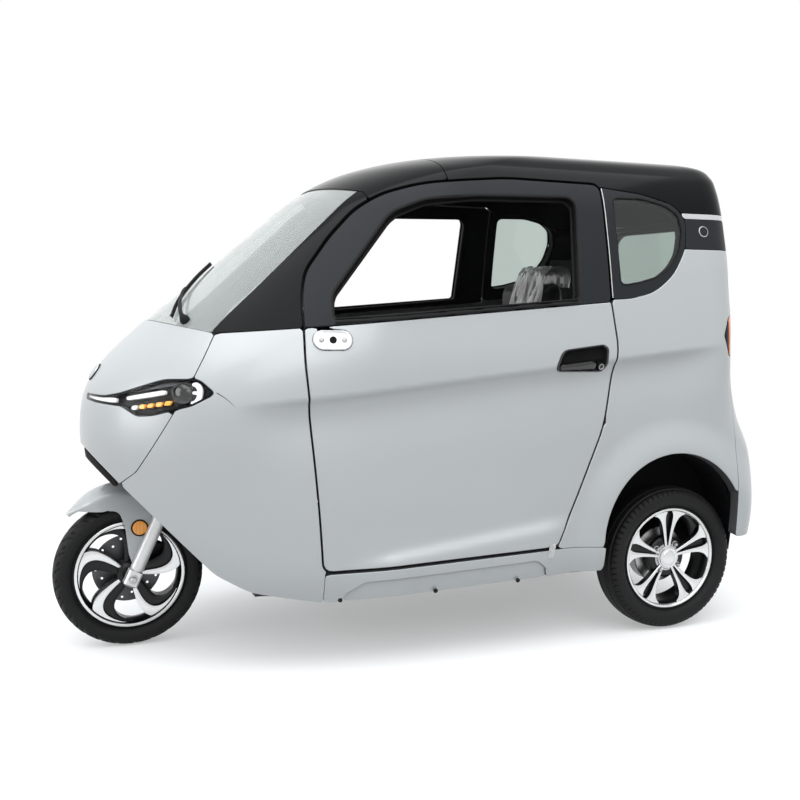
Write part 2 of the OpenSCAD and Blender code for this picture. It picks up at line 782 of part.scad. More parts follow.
module wiper() color(dark) facet_mesh() {
  intersection() {
    body_layer(-wiper_high, wiper_gap - wiper_high);
    wiper_prism() wiper_strip(wiper_pivot, wiper_end, wiper_w);
  }
  intersection() {
    body_layer(-blade_high, glass_inset - seam);
    wiper_prism() wiper_strip(wiper_blade[0], wiper_blade[1], blade_w);
  }
  intersection() {
    body_layer(-wiper_high - 2, glass_inset - seam);
    wiper_prism() translate(wiper_pivot) circle(d = wiper_boss_d, $fn = 24);
  }
}

// Rear axle with its motor, and the leaf springs
axle_tube_d = 64;
stub_d = 30;
axle_end_in = 85;
axle_half = rear_track / 2 - axle_end_in;
spring_y = rail_y;
pad_top = rear_axle_z + axle_tube_d / 2 + 8;
spring_t = 14;
spring_w = 50;
spring_half = 235;
spring_rise = 30;
spring_r = (spring_half * spring_half + spring_rise * spring_rise) / (2 * spring_rise);
hub_face = 30;
module along_y(d, from, to) translate([0, to, 0]) rotate([90, 0, 0]) cylinder(d = d, h = to - from);
pad_len = 90;
brake_plate = [150, 10];
gearbox = [190, 120];
motor = [150, 215];
shackle_len = 32;
module rear_axle() color("#3b3d40") translate([0, 0, rear_axle_z]) {
  along_y(axle_tube_d, -axle_half, axle_half);
  both_sides() along_y(stub_d, axle_half - 1, rear_track / 2 + hub_face);
  both_sides() along_y(brake_plate[0], axle_half - brake_plate[1], axle_half);
  along_y(gearbox[0], -gearbox[1] / 2, gearbox[1] / 2);
  rotate([0, 90, 0]) cylinder(d = motor[0], h = motor[1]);
  both_sides()
    translate([-pad_len / 2, spring_y - spring_w / 2, 0]) cube([pad_len, spring_w, pad_top - rear_axle_z]);
}
module leaf_springs() color("#47494c") both_sides() translate([0, spring_y, pad_top + seat_gap]) {
  intersection() {
    translate([0, spring_w / 2, spring_r]) rotate([90, 0, 0]) difference() {
      cylinder(r = spring_r, h = spring_w, $fn = 200);
      translate([0, 0, -1]) cylinder(r = spring_r - spring_t, h = spring_w + 2, $fn = 200);
    }
    translate([-spring_half, -spring_w, -1]) cube([2 * spring_half, 2 * spring_w, 2 * spring_rise]);
  }
  for (s = [-1, 1])
    translate([s * (spring_half - shackle_len / 2 - 2) - shackle_len / 2, -rail_w / 2, spring_rise])
      cube([shackle_len, rail_w, rear_floor_z - rear_rail_h - pad_top - spring_rise - 2 * seat_gap]);
}

// Wheels
rim_flange = [11, 7];
rim_t = 9;
bead_gap = 3;
flange_r = rim_d / 2 + rim_flange[0] + 1;
function neck_half(w) = 0.31 * w;
function tyre_section(d, w, n = 14) =
  let (mid = (d / 2 + flange_r) / 2, h = (d / 2 - flange_r) / 2, k = 0.8)
  concat(
    [[rim_d / 2 + seat_gap, -neck_half(w)]],
    [
      for (i = [-n:n])
        let (a = 145 * i / n)
        [mid + h * sign(cos(a)) * pow(abs(cos(a)), k), w / 2 * sign(sin(a)) * pow(abs(sin(a)), k)]
    ],
    [[rim_d / 2 + seat_gap, neck_half(w)]]
  );
module wheel_turn(fn) rotate([-90, 0, 0]) rotate_extrude($fn = fn) children();
module tyre(d, w) color("#151515") wheel_turn(96) polygon(tyre_section(d, w));
module rim_barrel(w) {
  n = neck_half(w) + bead_gap;
  r = rim_d / 2;
  f = rim_flange;
  wheel_turn(96)
    polygon([
      [r - rim_t, -n - f[1]], [r + f[0], -n - f[1]], [r + f[0], -n], [r, -n], [r, n], [r + f[0], n],
      [r + f[0], n + f[1]], [r - rim_t, n + f[1]]
    ]);
}
// Swept spoke: stations as radius share, with width and lean
function swirl_point(r, s, w0, w1, r0, r1, sweep) =
  let (t = (r - r0) / (r1 - r0), a = sweep * t * t + s * asin((w0 + (w1 - w0) * t) / 2 / r))
  r * [cos(a), sin(a)];
module swirl_spoke(r0, r1, w0, w1, sweep) {
  steps = 8;
  polygon(concat(
    [for (i = [0:steps]) swirl_point(r0 + (r1 - r0) * i / steps, -1, w0, w1, r0, r1, sweep)],
    [for (i = [steps:-1:0]) swirl_point(r0 + (r1 - r0) * i / steps, 1, w0, w1, r0, r1, sweep)]
  ));
}
spoke_count = 5;
front_hub_d = 78;
front_hub_half = 40;
boss_hub_d = 50;
front_spoke_t = 28;
spoke_step = 360 / spoke_count;
front_axle_d = 16;
disc_y = 54;
disc_t = 4;
module front_rim() color("#2a2b2d") translate([wheelbase, 0, front_axle_z]) difference() {
  union() {
    rim_barrel(front_tyre_w);
    along_y(front_hub_d, -front_hub_half, front_hub_half);
    along_y(boss_hub_d, -disc_y, disc_y);
    for (i = [0:spoke_count - 1])
      rotate([0, spoke_step * i + 20, 0])
        translate([0, front_spoke_t / 2, 0])
          rotate([90, 0, 0])
            linear_extrude(front_spoke_t)
              swirl_spoke(30, rim_d / 2 - 4, 44, 34, 38);
  }
  along_y(front_axle_d + 2 * run_fit, -100, 100);
}
disc_hole_d = 8;
disc_hole_in = [12, 26];
disc_holes = 18;
disc_eye_d = 40;
module front_disc() color("#8b8d90") translate([wheelbase, 0, front_axle_z]) mirror([0, 1, 0]) difference() {
  along_y(disc_d, disc_y, disc_y + disc_t);
  along_y(disc_eye_d, disc_y - 1, disc_y + disc_t + 1);
  for (i = [0:disc_holes - 1])
    rotate([0, 360 * i / disc_holes, 0])
      translate([disc_d / 2 - disc_hole_in[i % 2], 0, 0])
        along_y(disc_hole_d, disc_y - 1, disc_y + disc_t + 1);
}
module front_tyre() translate([wheelbase, 0, front_axle_z]) tyre(front_tyre_d, front_tyre_w);
rear_hub_d = 104;
drum_d = 190;
drum_y = [-70, -25];
rear_spoke_t = 26;
spoke_spread = 9;
hub_cap = 8;
module rear_rim() color("#2a2b2d") difference() {
  union() {
    rim_barrel(rear_tyre_w);
    along_y(rear_hub_d, -hub_face, hub_face + hub_cap);
    along_y(drum_d, drum_y[0], drum_y[1]);
    for (i = [0:spoke_count - 1], s = [-1, 1])
      rotate([0, spoke_step * i + 18, 0])
        translate([0, hub_face + hub_cap - 2, 0])
          rotate([90, 0, 0])
            linear_extrude(rear_spoke_t)
              rotate(spoke_spread * s)
                swirl_spoke(40, rim_d / 2 - 4, 22, 18, 0);
  }
  along_y(stub_d + 2 * run_fit, -100, hub_face + 1);
}
module rear_wheel_place() translate([0, rear_track / 2, rear_axle_z]) children();
module rear_rim_left() rear_wheel_place() rear_rim();
module rear_tyre_left() rear_wheel_place() tyre(rear_tyre_d, rear_tyre_w);
module rear_rim_right() mirror([0, 1, 0]) rear_rim_left();
module rear_tyre_right() mirror([0, 1, 0]) rear_tyre_left();

// Fork, column and handlebar, in the frame of the steering axis
yoke_t = 22;
yoke_w = 46;
yoke_gap = 4;
tube_d = 32;
leg_split = 215;
leg_drop = 34;
lug = [42, 48];
yoke_low = head_low - yoke_t - yoke_gap;
yoke_high = head_high + yoke_gap;
fork_y = fork_gap / 2;
caliper_low = [fork_offset - 100, 55];
caliper_size = [70, 62];
caliper_in = 9;
caliper_slot = 5;
caliper_lug = [32, 8, 30];
module fork_leg() translate([fork_offset, fork_y, 0]) {
  translate([0, 0, -leg_drop]) cylinder(d = fork_leg_d, h = leg_split + leg_drop);
  cylinder(d = tube_d, h = yoke_high + yoke_t);
  translate([-lug[0] / 2, -6, -lug[1] / 2]) cube([lug[0], fork_leg_d / 2 + 12, lug[1]]);
}
module yoke() {
  cylinder(d = head_d, h = yoke_t);
  translate([0, -yoke_w / 2, 0]) cube([fork_offset, yoke_w, yoke_t]);
  translate([fork_offset - yoke_w / 2, -fork_y - yoke_w / 2, 0]) cube([yoke_w, fork_gap + yoke_w, yoke_t]);
}
module caliper() mirror([0, 1, 0]) {
  difference() {
    translate([caliper_low[0], disc_y - caliper_in, caliper_low[1]])
      cube([caliper_size[0], fork_y - disc_y + caliper_in, caliper_size[1]]);
    translate([fork_offset, 0, 0])
      along_y(disc_d + 2 * caliper_slot, disc_y - caliper_slot, disc_y + disc_t + caliper_slot);
  }
  translate([fork_offset - caliper_lug[0], fork_y - caliper_lug[1], caliper_low[1] + 20]) cube(caliper_lug);
}
module fork() color("#b4b7ba") steer_frame() {
  both_sides() fork_leg();
  for (z = [yoke_low, yoke_high]) translate([0, 0, z]) yoke();
  translate([0, 0, yoke_low]) cylinder(d = stem_d, h = column_len - yoke_low);
  translate([fork_offset, 0, 0]) along_y(front_axle_d, -fork_y, fork_y);
  caliper();
}
bar_d = 24;
bar_back = -150;
clamp_size = [60, 70, 40];
grip_d = 34;
grip_len = 120;
module bar_run(a, b, d) {
  v = b - a;
  translate(a)
    rotate([0, acos(v[2] / norm(v)), atan2(v[1], v[0])])
      cylinder(d = d, h = norm(v));
}
// Bends of the handlebar, from the clamp outward
bar_knee = [-20, 110, 40];
bar_elbow = [bar_back, bar_w / 2 - grip_len, 55];
bar_tip = [bar_back - 25, bar_w / 2, 50];
module handlebar() color(dark) steer_frame() translate([0, 0, column_len]) {
  translate([-clamp_size[0] / 2, -clamp_size[1] / 2, 0]) cube(clamp_size);
  both_sides() {
    bar_run([0, -1, clamp_size[2] / 2], bar_knee, bar_d);
    bar_run(bar_knee, bar_elbow, bar_d);
    bar_run(bar_elbow, bar_tip, grip_d);
    translate(bar_knee) sphere(d = bar_d);
    translate(bar_elbow) sphere(d = grip_d);
  }
}
// Front fender, carried by plates on the fork legs
fender_r = 284;
fender_t = 4;
fender_w = 136;
fender_span = [46, 136];
fender_plate_t = 4;
boss_at = 60;
boss_d = 26;
reflector_d = 54;
reflector_t = 6;
reflector_at = [-28, 154];
module fender_sector() {
  polygon(concat(
    [[0, 0]],
    [
      for (i = [0:8])
        let (a = fender_span[0] + (fender_span[1] - fender_span[0]) * i / 8)
        2 * fender_r * [cos(a), sin(a)]
    ]
  ));
}
module front_wheel_place() translate([wheelbase, 0, front_axle_z]) children();
module fender_plate() {
  intersection() {
    circle(r = fender_r, $fn = 128);
    polygon([
      [75, fender_r + 20], [75, 250], [40, 206], [6, 62], [-boss_at * sin(rake), boss_at * cos(rake) - 22],
      [-boss_at * sin(rake) - 18, boss_at * cos(rake)], [-104, 190], [-190, 230], [-210, fender_r + 20]
    ]);
  }
}
module front_fender() color(silver) front_wheel_place() {
  translate([0, fender_w / 2, 0]) rotate([90, 0, 0]) linear_extrude(fender_w) intersection() {
    difference() {
      circle(r = fender_r, $fn = 128);
      circle(r = fender_r - fender_t, $fn = 128);
    }
    fender_sector();
  }
  both_sides() {
    translate([0, fender_w / 2, 0]) rotate([90, 0, 0]) linear_extrude(fender_plate_t) fender_plate();
    translate([-boss_at * sin(rake), 0, boss_at * cos(rake)])
      along_y(boss_d, fender_w / 2 - 1, fork_y - fork_leg_d / 2 - seat_gap);
  }
}
module fender_reflectors() color("#e08a1e") front_wheel_place() both_sides()
  translate([reflector_at[0], 0, reflector_at[1]])
    along_y(reflector_d, fender_w / 2, fender_w / 2 + reflector_t);

module door_left() door();
module door_right() mirror([0, 1, 0]) door();
module door_frame_left() door_frame();
module door_frame_right() mirror([0, 1, 0]) door_frame();
module door_handle_left() door_handle();
module door_handle_right() mirror([0, 1, 0]) door_handle();
module mirror_plate_left() mirror_plate();
module mirror_plate_right() mirror([0, 1, 0]) mirror_plate();
module door_knuckles_left() door_knuckles();
module door_knuckles_right() mirror([0, 1, 0]) door_knuckles();

in_frame() frame();
in_frame() floor_pan();
in_frame() front_bulkheads();
in_frame() nose_panel();
in_frame() front_quarters();
in_frame() sills();
in_frame() rear_quarters();
in_frame() tail_panel();
in_frame() rear_band();
in_frame() roof();
in_frame() a_pillars();
in_frame() windscreen();
in_frame() quarter_trims();
in_frame() quarter_glass();
in_frame() rear_window();
in_frame() headlamps();
in_frame() tail_lamps();
in_frame() wheelhouses();
in_frame() dashboard();
in_frame() seat_base();
in_frame() battery();
in_frame() driver_seat();
in_frame() rear_bench();
in_frame() wiper();
in_frame() door_hinges();
in_frame() rear_axle();
in_frame() leaf_springs();
in_frame() fork();
in_frame() handlebar();
in_frame() front_fender();
in_frame() fender_reflectors();
in_frame() front_rim();
in_frame() front_disc();
in_frame() front_tyre();
in_frame() rear_rim_left();
in_frame() rear_tyre_left();
in_frame() rear_rim_right();
in_frame() rear_tyre_right();
in_frame() door_left();
in_frame() door_frame_left();
in_frame() door_handle_left();
in_frame() mirror_plate_left();
in_frame() door_knuckles_left();
in_frame() door_right();
in_frame() door_frame_right();
in_frame() door_handle_right();
in_frame() mirror_plate_right();
in_frame() door_knuckles_right();
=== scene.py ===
"""Enclosed three-wheel mobility scooter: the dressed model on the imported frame."""
import math
import bpy
import numpy as np
from mathutils import Matrix, Vector

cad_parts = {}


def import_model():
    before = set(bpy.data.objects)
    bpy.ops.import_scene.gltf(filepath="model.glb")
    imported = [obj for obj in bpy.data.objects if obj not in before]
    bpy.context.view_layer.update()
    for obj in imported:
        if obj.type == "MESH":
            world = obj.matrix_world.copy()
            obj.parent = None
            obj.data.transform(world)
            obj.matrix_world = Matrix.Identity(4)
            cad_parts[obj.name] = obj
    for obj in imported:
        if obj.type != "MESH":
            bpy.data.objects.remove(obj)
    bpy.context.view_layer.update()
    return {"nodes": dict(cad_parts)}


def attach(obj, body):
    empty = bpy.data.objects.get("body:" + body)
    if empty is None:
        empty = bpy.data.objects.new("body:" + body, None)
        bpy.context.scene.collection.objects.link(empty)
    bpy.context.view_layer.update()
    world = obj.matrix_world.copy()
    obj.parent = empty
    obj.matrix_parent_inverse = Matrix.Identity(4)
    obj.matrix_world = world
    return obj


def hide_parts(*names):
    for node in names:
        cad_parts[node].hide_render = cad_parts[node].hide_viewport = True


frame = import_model()
SHIFT = np.array([-781.25, 0.0, 0.0])      # pieces are drawn in mm from the rear axle
scene = bpy.context.scene
scene.view_settings.view_transform = "Standard"

# materials
def node_group(name):
    m = bpy.data.materials.new(name)
    m.use_nodes = True
    nt = m.node_tree
    return m, nt, nt.nodes["Principled BSDF"], nt.links

def noise(nt, coord, scale, detail=3.0, rough=0.5):
    n = nt.nodes.new("ShaderNodeTexNoise")
    n.inputs["Scale"].default_value = scale
    n.inputs["Detail"].default_value = detail
    n.inputs["Roughness"].default_value = rough
    nt.links.new(coord, n.inputs["Vector"])
    return n.outputs["Fac"]

def ramp(nt, fac, stops):
    r = nt.nodes.new("ShaderNodeValToRGB")
    e = r.color_ramp.elements
    while len(e) < len(stops):
        e.new(0.5)
    for k, (p, c) in enumerate(stops):
        e[k].position = p
        e[k].color = (c, c, c, 1) if isinstance(c, (int, float)) else (*c, 1)
    nt.links.new(fac, r.inputs["Fac"])
    return r.outputs["Color"]

def material(name, color, rough=0.4, metal=0.0, coat=0.0, coat_rough=0.03, spec=0.5, vary=0.08, scale=60.0,
             fine=900.0, fine_amount=0.05, rough_var=0.06, bump=0.0, bump_scale=700.0, bump_dist=0.0004, sheen=0.0):
    """Colour with a broad drift and a fine grain, roughness that varies, and a bump."""
    m, nt, p, ln = node_group(name)
    obj = nt.nodes.new("ShaderNodeTexCoord").outputs["Object"]
    c = np.array(color)
    broad = noise(nt, obj, scale * 0.1, 4.0)
    base = ramp(nt, broad, [(0.3, tuple(c * (1 - vary))), (0.7, tuple(np.minimum(c * (1 + vary), 1)))])
    grain = ramp(nt, noise(nt, obj, fine, 2.0), [(0.3, 1 - fine_amount), (0.7, 1.0)])
    mix = nt.nodes.new("ShaderNodeMixRGB")
    mix.blend_type = "MULTIPLY"
    mix.inputs[0].default_value = 1.0
    ln.new(base, mix.inputs[1])
    ln.new(grain, mix.inputs[2])
    ln.new(mix.outputs[0], p.inputs["Base Color"])
    rr = nt.nodes.new("ShaderNodeMapRange")
    ln.new(noise(nt, obj, scale, 4.0), rr.inputs["Value"])
    rr.inputs["To Min"].default_value = max(0.01, rough - rough_var)
    rr.inputs["To Max"].default_value = min(1.0, rough + rough_var)
    ln.new(rr.outputs["Result"], p.inputs["Roughness"])
    p.inputs["Metallic"].default_value = metal
    p.inputs["Specular IOR Level"].default_value = spec
    p.inputs["Coat Weight"].default_value = coat
    p.inputs["Coat Roughness"].default_value = coat_rough
    p.inputs["Sheen Weight"].default_value = sheen
    if bump:
        b = nt.nodes.new("ShaderNodeBump")
        b.inputs["Strength"].default_value = bump
        b.inputs["Distance"].default_value = bump_dist
        ln.new(noise(nt, obj, bump_scale, 3.0), b.inputs["Height"])
        ln.new(b.outputs["Normal"], p.inputs["Normal"])
    return m

def clear(name, color, rough=0.02, ior=1.12, coat=1.0):
    m, nt, p, ln = node_group(name)
    obj = nt.nodes.new("ShaderNodeTexCoord").outputs["Object"]
    rr = nt.nodes.new("ShaderNodeMapRange")
    ln.new(noise(nt, obj, 9.0, 4.0), rr.inputs["Value"])
    rr.inputs["To Min"].default_value = max(0.0, rough - 0.015)
    rr.inputs["To Max"].default_value = rough + 0.02
    ln.new(rr.outputs["Result"], p.inputs["Roughness"])
    p.inputs["Base Color"].default_value = (*color, 1)
    p.inputs["Transmission Weight"].default_value = 1.0
    p.inputs["IOR"].default_value = ior
    p.inputs["Coat Weight"].default_value = coat
    p.inputs["Coat Roughness"].default_value = 0.01
    return m

def glow(m, color, strength):
    p = m.node_tree.nodes["Principled BSDF"]
    p.inputs["Emission Color"].default_value = (*color, 1)
    p.inputs["Emission Strength"].default_value = strength
    return m

SILVER = material("silver_paint", (0.50, 0.52, 0.527), 0.34, 0.22, 0.35, 0.08, vary=0.025, scale=14, fine=2600,
                  fine_amount=0.07, rough_var=0.03)
SILVER_IN = material("silver_back", (0.10, 0.10, 0.105), 0.6, 0.2, vary=0.1, bump=0.2)
BLACK = material("gloss_black", (0.003, 0.0036, 0.0045), 0.14, 0.0, 0.06, 0.04, spec=0.10, vary=0.1, scale=20,
                 rough_var=0.03)
FRAME = material("satin_grey", (0.012, 0.0145, 0.018), 0.45, 0.0, 0.0, 0.2, spec=0.22, vary=0.12, scale=40,
                 fine=1800, bump=0.12,
                 bump_scale=1500)
DARK = material("dark_plastic", (0.006, 0.006, 0.0065), 0.55, 0.0, spec=0.25, vary=0.2, scale=60, bump=0.5,
                bump_scale=900)
LINER = material("black_liner", (0.004, 0.004, 0.004), 0.8, 0.0, spec=0.2, vary=0.3, scale=50, bump=0.6,
                 bump_scale=300)
RUBBER = material("seal_rubber", (0.004, 0.004, 0.004), 0.6, 0.0, spec=0.25, vary=0.2, scale=80, bump=0.3)
FLOOR_MAT = material("floor_mat", (0.03, 0.03, 0.031), 0.75, 0.0, vary=0.25, scale=50, bump=0.8, bump_scale=260)
STEEL = material("frame_steel", (0.022, 0.022, 0.024), 0.5, 0.2, vary=0.25, scale=40, bump=0.4, bump_scale=400)
BARE = material("bare_steel", (0.42, 0.42, 0.42), 0.32, 1.0, vary=0.15, scale=40, fine=1600, bump=0.15)
ALLOY = material("fork_alloy", (0.66, 0.665, 0.67), 0.34, 0.6, 0.2, 0.1, vary=0.1, scale=40, bump=0.15,
                 bump_scale=900)
MACHINED = material("machined_face", (0.74, 0.745, 0.75), 0.24, 0.85, 0.4, 0.05, vary=0.05, scale=30, fine=2200,
                    fine_amount=0.1)
RIM = material("rim_black", (0.004, 0.004, 0.0045), 0.3, 0.0, 0.1, 0.08, spec=0.25, vary=0.2, scale=40)
TYRE = material("tyre_rubber", (0.007, 0.007, 0.0075), 0.6, 0.0, spec=0.25, vary=0.3, scale=40, fine=1200,
                fine_amount=0.2, bump=0.5,
                bump_scale=1200)
SEAT = material("seat_leather", (0.008, 0.008, 0.0085), 0.5, 0.0, 0.1, 0.3, spec=0.3, vary=0.25, scale=60, bump=0.7,
                bump_scale=520,
                bump_dist=0.0008, sheen=0.1)
# Fender reflector amber with a painted glow: the emission brightens the lens where it sits in shade
AMBER_PAINTED_GLOW = glow(material("amber_lens_painted_glow", (0.90, 0.36, 0.015), 0.16, 0.0, 1.0, 0.03, vary=0.1, scale=200, bump=0.5,
                      bump_scale=260),
             (1.0, 0.36, 0.01), 0.18)
RED = material("red_lens", (0.50, 0.018, 0.012), 0.14, 0.0, 1.0, 0.03, vary=0.15, scale=120, bump=0.4, bump_scale=240)
ORANGE = material("orange_lens", (0.80, 0.20, 0.02), 0.16, 0.0, 1.0, 0.03, vary=0.1, scale=120, bump=0.4,
                  bump_scale=240)
# Headlamp white LED parts with a painted glow: the emission makes them read pale and bright
WHITE_LENS_PAINTED_GLOW = glow(material("white_lens_painted_glow", (0.86, 0.87, 0.88), 0.2, 0.0, 0.6, 0.05, vary=0.04, scale=300, bump=0.3,
                           bump_scale=400), (1, 1, 1), 0.25)
DISC = material("disc_steel", (0.10, 0.10, 0.105), 0.36, 0.9, vary=0.15, scale=60, fine=1800, bump=0.2)
LAMP_BLACK = material("lamp_black", (0.004, 0.004, 0.0045), 0.35, 0.0, 0.0, 0.1, spec=0.2, vary=0.2, scale=60,
                      bump=0.3, bump_scale=500)
LAMP_GREY = material("lamp_bezel", (0.07, 0.07, 0.075), 0.3, 0.8, vary=0.15, scale=60, fine=1500)
PROJECTOR = material("lamp_projector", (0.014, 0.019, 0.016), 0.10, 0.4, 1.0, 0.01, vary=0.3, scale=30)
# Headlamp amber chips with a painted glow: the emission stands in for their bright look and glints
AMBER_CHIP_PAINTED_GLOW = glow(material("amber_segment_painted_glow", (0.90, 0.36, 0.03), 0.2, 0.0, 1.0, 0.03, vary=0.25, scale=400, bump=0.5,
                           bump_scale=300), (1.0, 0.42, 0.05), 0.45)
PLATE_SILVER = material("plate_silver", (0.60, 0.61, 0.62), 0.28, 0.6, 0.4, 0.05, vary=0.04, scale=40, fine=1800)
HANDLE_BLACK = material("handle_black", (0.010, 0.010, 0.011), 0.28, 0.0, 0.3, 0.1, vary=0.2, scale=60, bump=0.2,
                        bump_scale=1200)
GLASS = clear("window_glass", (0.66, 0.71, 0.69), 0.01, 1.45, 0.0)
TINTED = clear("tinted_glass", (0.50, 0.57, 0.54), 0.01, 1.45, 0.0)
SCREEN_PAINTED_REFLECTION = clear("screen_glass_painted_reflection", (0.84, 0.88, 0.87), 0.01, 1.45, 0.0)
# Painted reflection: part of the windscreen is a pale diffuse layer standing in for the light grey reflection on the
# glass
SCREEN_PAINTED_REFLECTION.node_tree.nodes["Principled BSDF"].inputs["Transmission Weight"].default_value = 0.78
LENS = clear("lamp_cover", (0.96, 0.97, 0.98), 0.01, 1.12, 0.0)
FILM = material("clear_film", (0.80, 0.80, 0.79), 0.14, 0.0, 1.0, 0.05, vary=0.05, scale=60, bump=0.8, bump_scale=60,
                bump_dist=0.002)
FILM.node_tree.nodes["Principled BSDF"].inputs["Transmission Weight"].default_value = 0.7
FILM.node_tree.nodes["Principled BSDF"].inputs["IOR"].default_value = 1.15
# White tape; the same material also makes the painted highlight line along the door's rear seam
TAPE_AND_PAINTED_HIGHLIGHT = material("white_tape_and_painted_highlight", (0.78, 0.78, 0.76), 0.6, 0.0, vary=0.06, scale=80, bump=0.3, bump_scale=300)

# meshes
def make(name, verts, faces, body, mats, normals=None, index=None, smooth=True, stands_for=()):
    """One mesh piece from points in mm, riding on a body."""
    me = bpy.data.meshes.new(name)
    v = (np.asarray(verts, float) + SHIFT) * 0.001
    me.from_pydata(v.tolist(), [], [list(map(int, f)) for f in faces])
    for m in mats if isinstance(mats, (list, tuple)) else [mats]:
        me.materials.append(m)
    if index is not None:
        me.polygons.foreach_set("material_index", np.asarray(index, np.int32))
    me.polygons.foreach_set("use_smooth", np.full(len(me.polygons), smooth))
    if normals is not None:
        n = np.asarray(normals, float)
        n /= np.maximum(np.linalg.norm(n, axis=1, keepdims=True), 1e-9)
        me.normals_split_custom_set_from_vertices(n.tolist())
    me.update()
    ob = bpy.data.objects.new(name, me)
    scene.collection.objects.link(ob)
    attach(ob, body)
    if stands_for:
        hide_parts(*stands_for)
    return ob

class Heap:
    """Points, faces and material numbers gathered into one piece."""
    def __init__(self):
        self.v, self.f, self.m, self.count = [], [], [], 0
    def add(self, v, f, m=0):
        v = np.asarray(v, float).reshape(-1, 3)
        self.v.append(v)
        self.f += [[i + self.count for i in q] for q in f]
        self.m += [m] * len(f) if np.isscalar(m) else list(m)
        self.count += len(v)
    def piece(self, name, body, mats, stands_for=(), angle=35, slot=None):
        ob = make(name, np.concatenate(self.v), self.f, body, mats, index=self.m, stands_for=stands_for)
        ob.data.set_sharp_from_angle(angle=math.radians(angle))
        return ob

def sweep_grid(rings, closed=True, cap=False):
    """Faces over a stack of equal rings."""
    k, n = rings.shape[:2]
    f = []
    for a in range(k - 1):
        for j in range(n if closed else n - 1):
            b = (j + 1) % n
            f.append([a * n + j, a * n + b, (a + 1) * n + b, (a + 1) * n + j])
    if cap:
        f.append(list(range(n))[::-1])
        f.append([(k - 1) * n + j for j in range(n)])
    return rings.reshape(-1, 3), f

def revolve(profile, n=96):
    """Ring of sections about Y: profile rows are radius and y."""
    p = np.asarray(profile, float)
    a = np.linspace(0, 2 * math.pi, n, endpoint=False)
    rings = np.stack([np.stack([p[:, 0] * math.cos(t), p[:, 1], p[:, 0] * math.sin(t)], 1) for t in a])
    k, m = rings.shape[:2]
    f = [[i * m + j, ((i + 1) % k) * m + j, ((i + 1) % k) * m + j + 1,
          i * m + j + 1] for i in range(k) for j in range(m - 1)]
    return rings.reshape(-1, 3), f

def tube(points, radius, n=14, cap=True):
    """Round tube along a line of points; radius may vary."""
    p = np.asarray(points, float)
    r = np.full(len(p), radius) if np.isscalar(radius) else np.asarray(radius, float)
    t = np.gradient(p, axis=0)
    t /= np.linalg.norm(t, axis=1, keepdims=True)
    ref = np.array([0, 0, 1.0]) if abs(t[0][2]) < 0.9 else np.array([1.0, 0, 0])
    rings = []
    for i in range(len(p)):
        u = np.cross(t[i], ref)
        u /= np.linalg.norm(u)
        w = np.cross(t[i], u)
        a = np.linspace(0, 2 * math.pi, n, endpoint=False)
        rings.append(p[i] + r[i] * (np.outer(np.cos(a), u) + np.outer(np.sin(a), w)))
    return sweep_grid(np.array(rings), True, cap)

def smooth_line(points, n):
    """Catmull-Rom line through points."""
    p = np.asarray(points, float)
    q = np.vstack([2 * p[0] - p[1], p, 2 * p[-1] - p[-2]])
    out = []
    for s in np.linspace(0, len(p) - 1, n):
        i = min(int(s), len(p) - 2)
        out.append(blend4(q[i], q[i + 1], q[i + 2], q[i + 3], s - i))
    return np.array(out)

# body surface: as in the solids, with a fuller hood, screen head and roof front
OVERHANG, ARCH_X, ARCH_Z, ARCH_R, WALL = 395, 23, 340, 272, 42
ROWS = np.array([
    [180, 1700, -330, 520, 640, 160], [300, 1760, -375, 552, 690, 170], [450, 1825, 2 - OVERHANG, 563, 740, 180],
    [600, 1855, 10 - OVERHANG, 562, 760, 215], [720, 1862, -338, 562, 770, 235], [830, 1842, -308, 562, 764, 225],
    [930, 1774, -300, 556, 719, 205], [1040, 1656, -302, 540, 651, 190], [1150, 1520, -300, 522, 580, 185],
    [1250, 1400, -300, 504, 520, 180], [1350, 1281, -295, 482, 456, 175], [1430, 1184, -290, 462, 409, 170],
    [1495, 1078, -286, 434, 363, 165], [1540, 966, -280, 402, 331, 160], [1575, 812, -255, 352, 307, 160],
    [1594, 590, -170, 256, 240, 160], [1600, 420, 30, 130, 120, 100]], float)
SIDE_BOW, CORNER_POWER = 0.015, 3.2
CREASE_IN, CREASE_DROP, LEDGE_OUT, LEDGE_DROP, FLARE_OUT, FLARE_WIDE = 19, 60, 19, 50, 20, 120

def blend4(a, b, c, d, t):
    return 0.5 * (2 * b + (c - a) * t + (2 * a - 5 * b + 4 * c - d) * t * t + (3 * b - a - 3 * c + d) * t ** 3)

def section(s):
    last = len(ROWS) - 1
    i = np.minimum(np.floor(s).astype(int), last - 1)
    row = lambda k: ROWS[np.clip(k, 0, last)]
    return blend4(row(i - 1), row(i), row(i + 1), row(i + 2), (s - i)[:, None])

def ease(t):
    c = np.clip(t, 0, 1)
    return c * c * (3 - 2 * c)

def fade(x, f):
    return ease((f[0] - x) / (f[0] - f[1])) * ease((x - f[3]) / (f[2] - f[3]))

def soft_positive(v, w):
    """Ramp from zero with a rounded foot."""
    return 0.5 * (v + np.sqrt(v * v + w * w)) - 0.5 * w * np.exp(-np.maximum(v, 0) / w)

def side_form(x, z):
    s = np.maximum(0, soft_positive((823 + (1272 - x) * 0.1 - z) / CREASE_DROP, 0.10))
    crease = -CREASE_IN * s * np.exp(1 - s) * fade(x, (1500, 1300, 60, -240))
    ledge = LEDGE_OUT * ease((345 + (1230 - x) * 0.116 - z) / LEDGE_DROP) * fade(x, (1190, 1000, 520, 380))
    flare = FLARE_OUT * ease(1 - (np.hypot(x - ARCH_X, np.maximum(0, z - ARCH_Z)) - ARCH_R) / FLARE_WIDE)
    return crease + ledge + flare

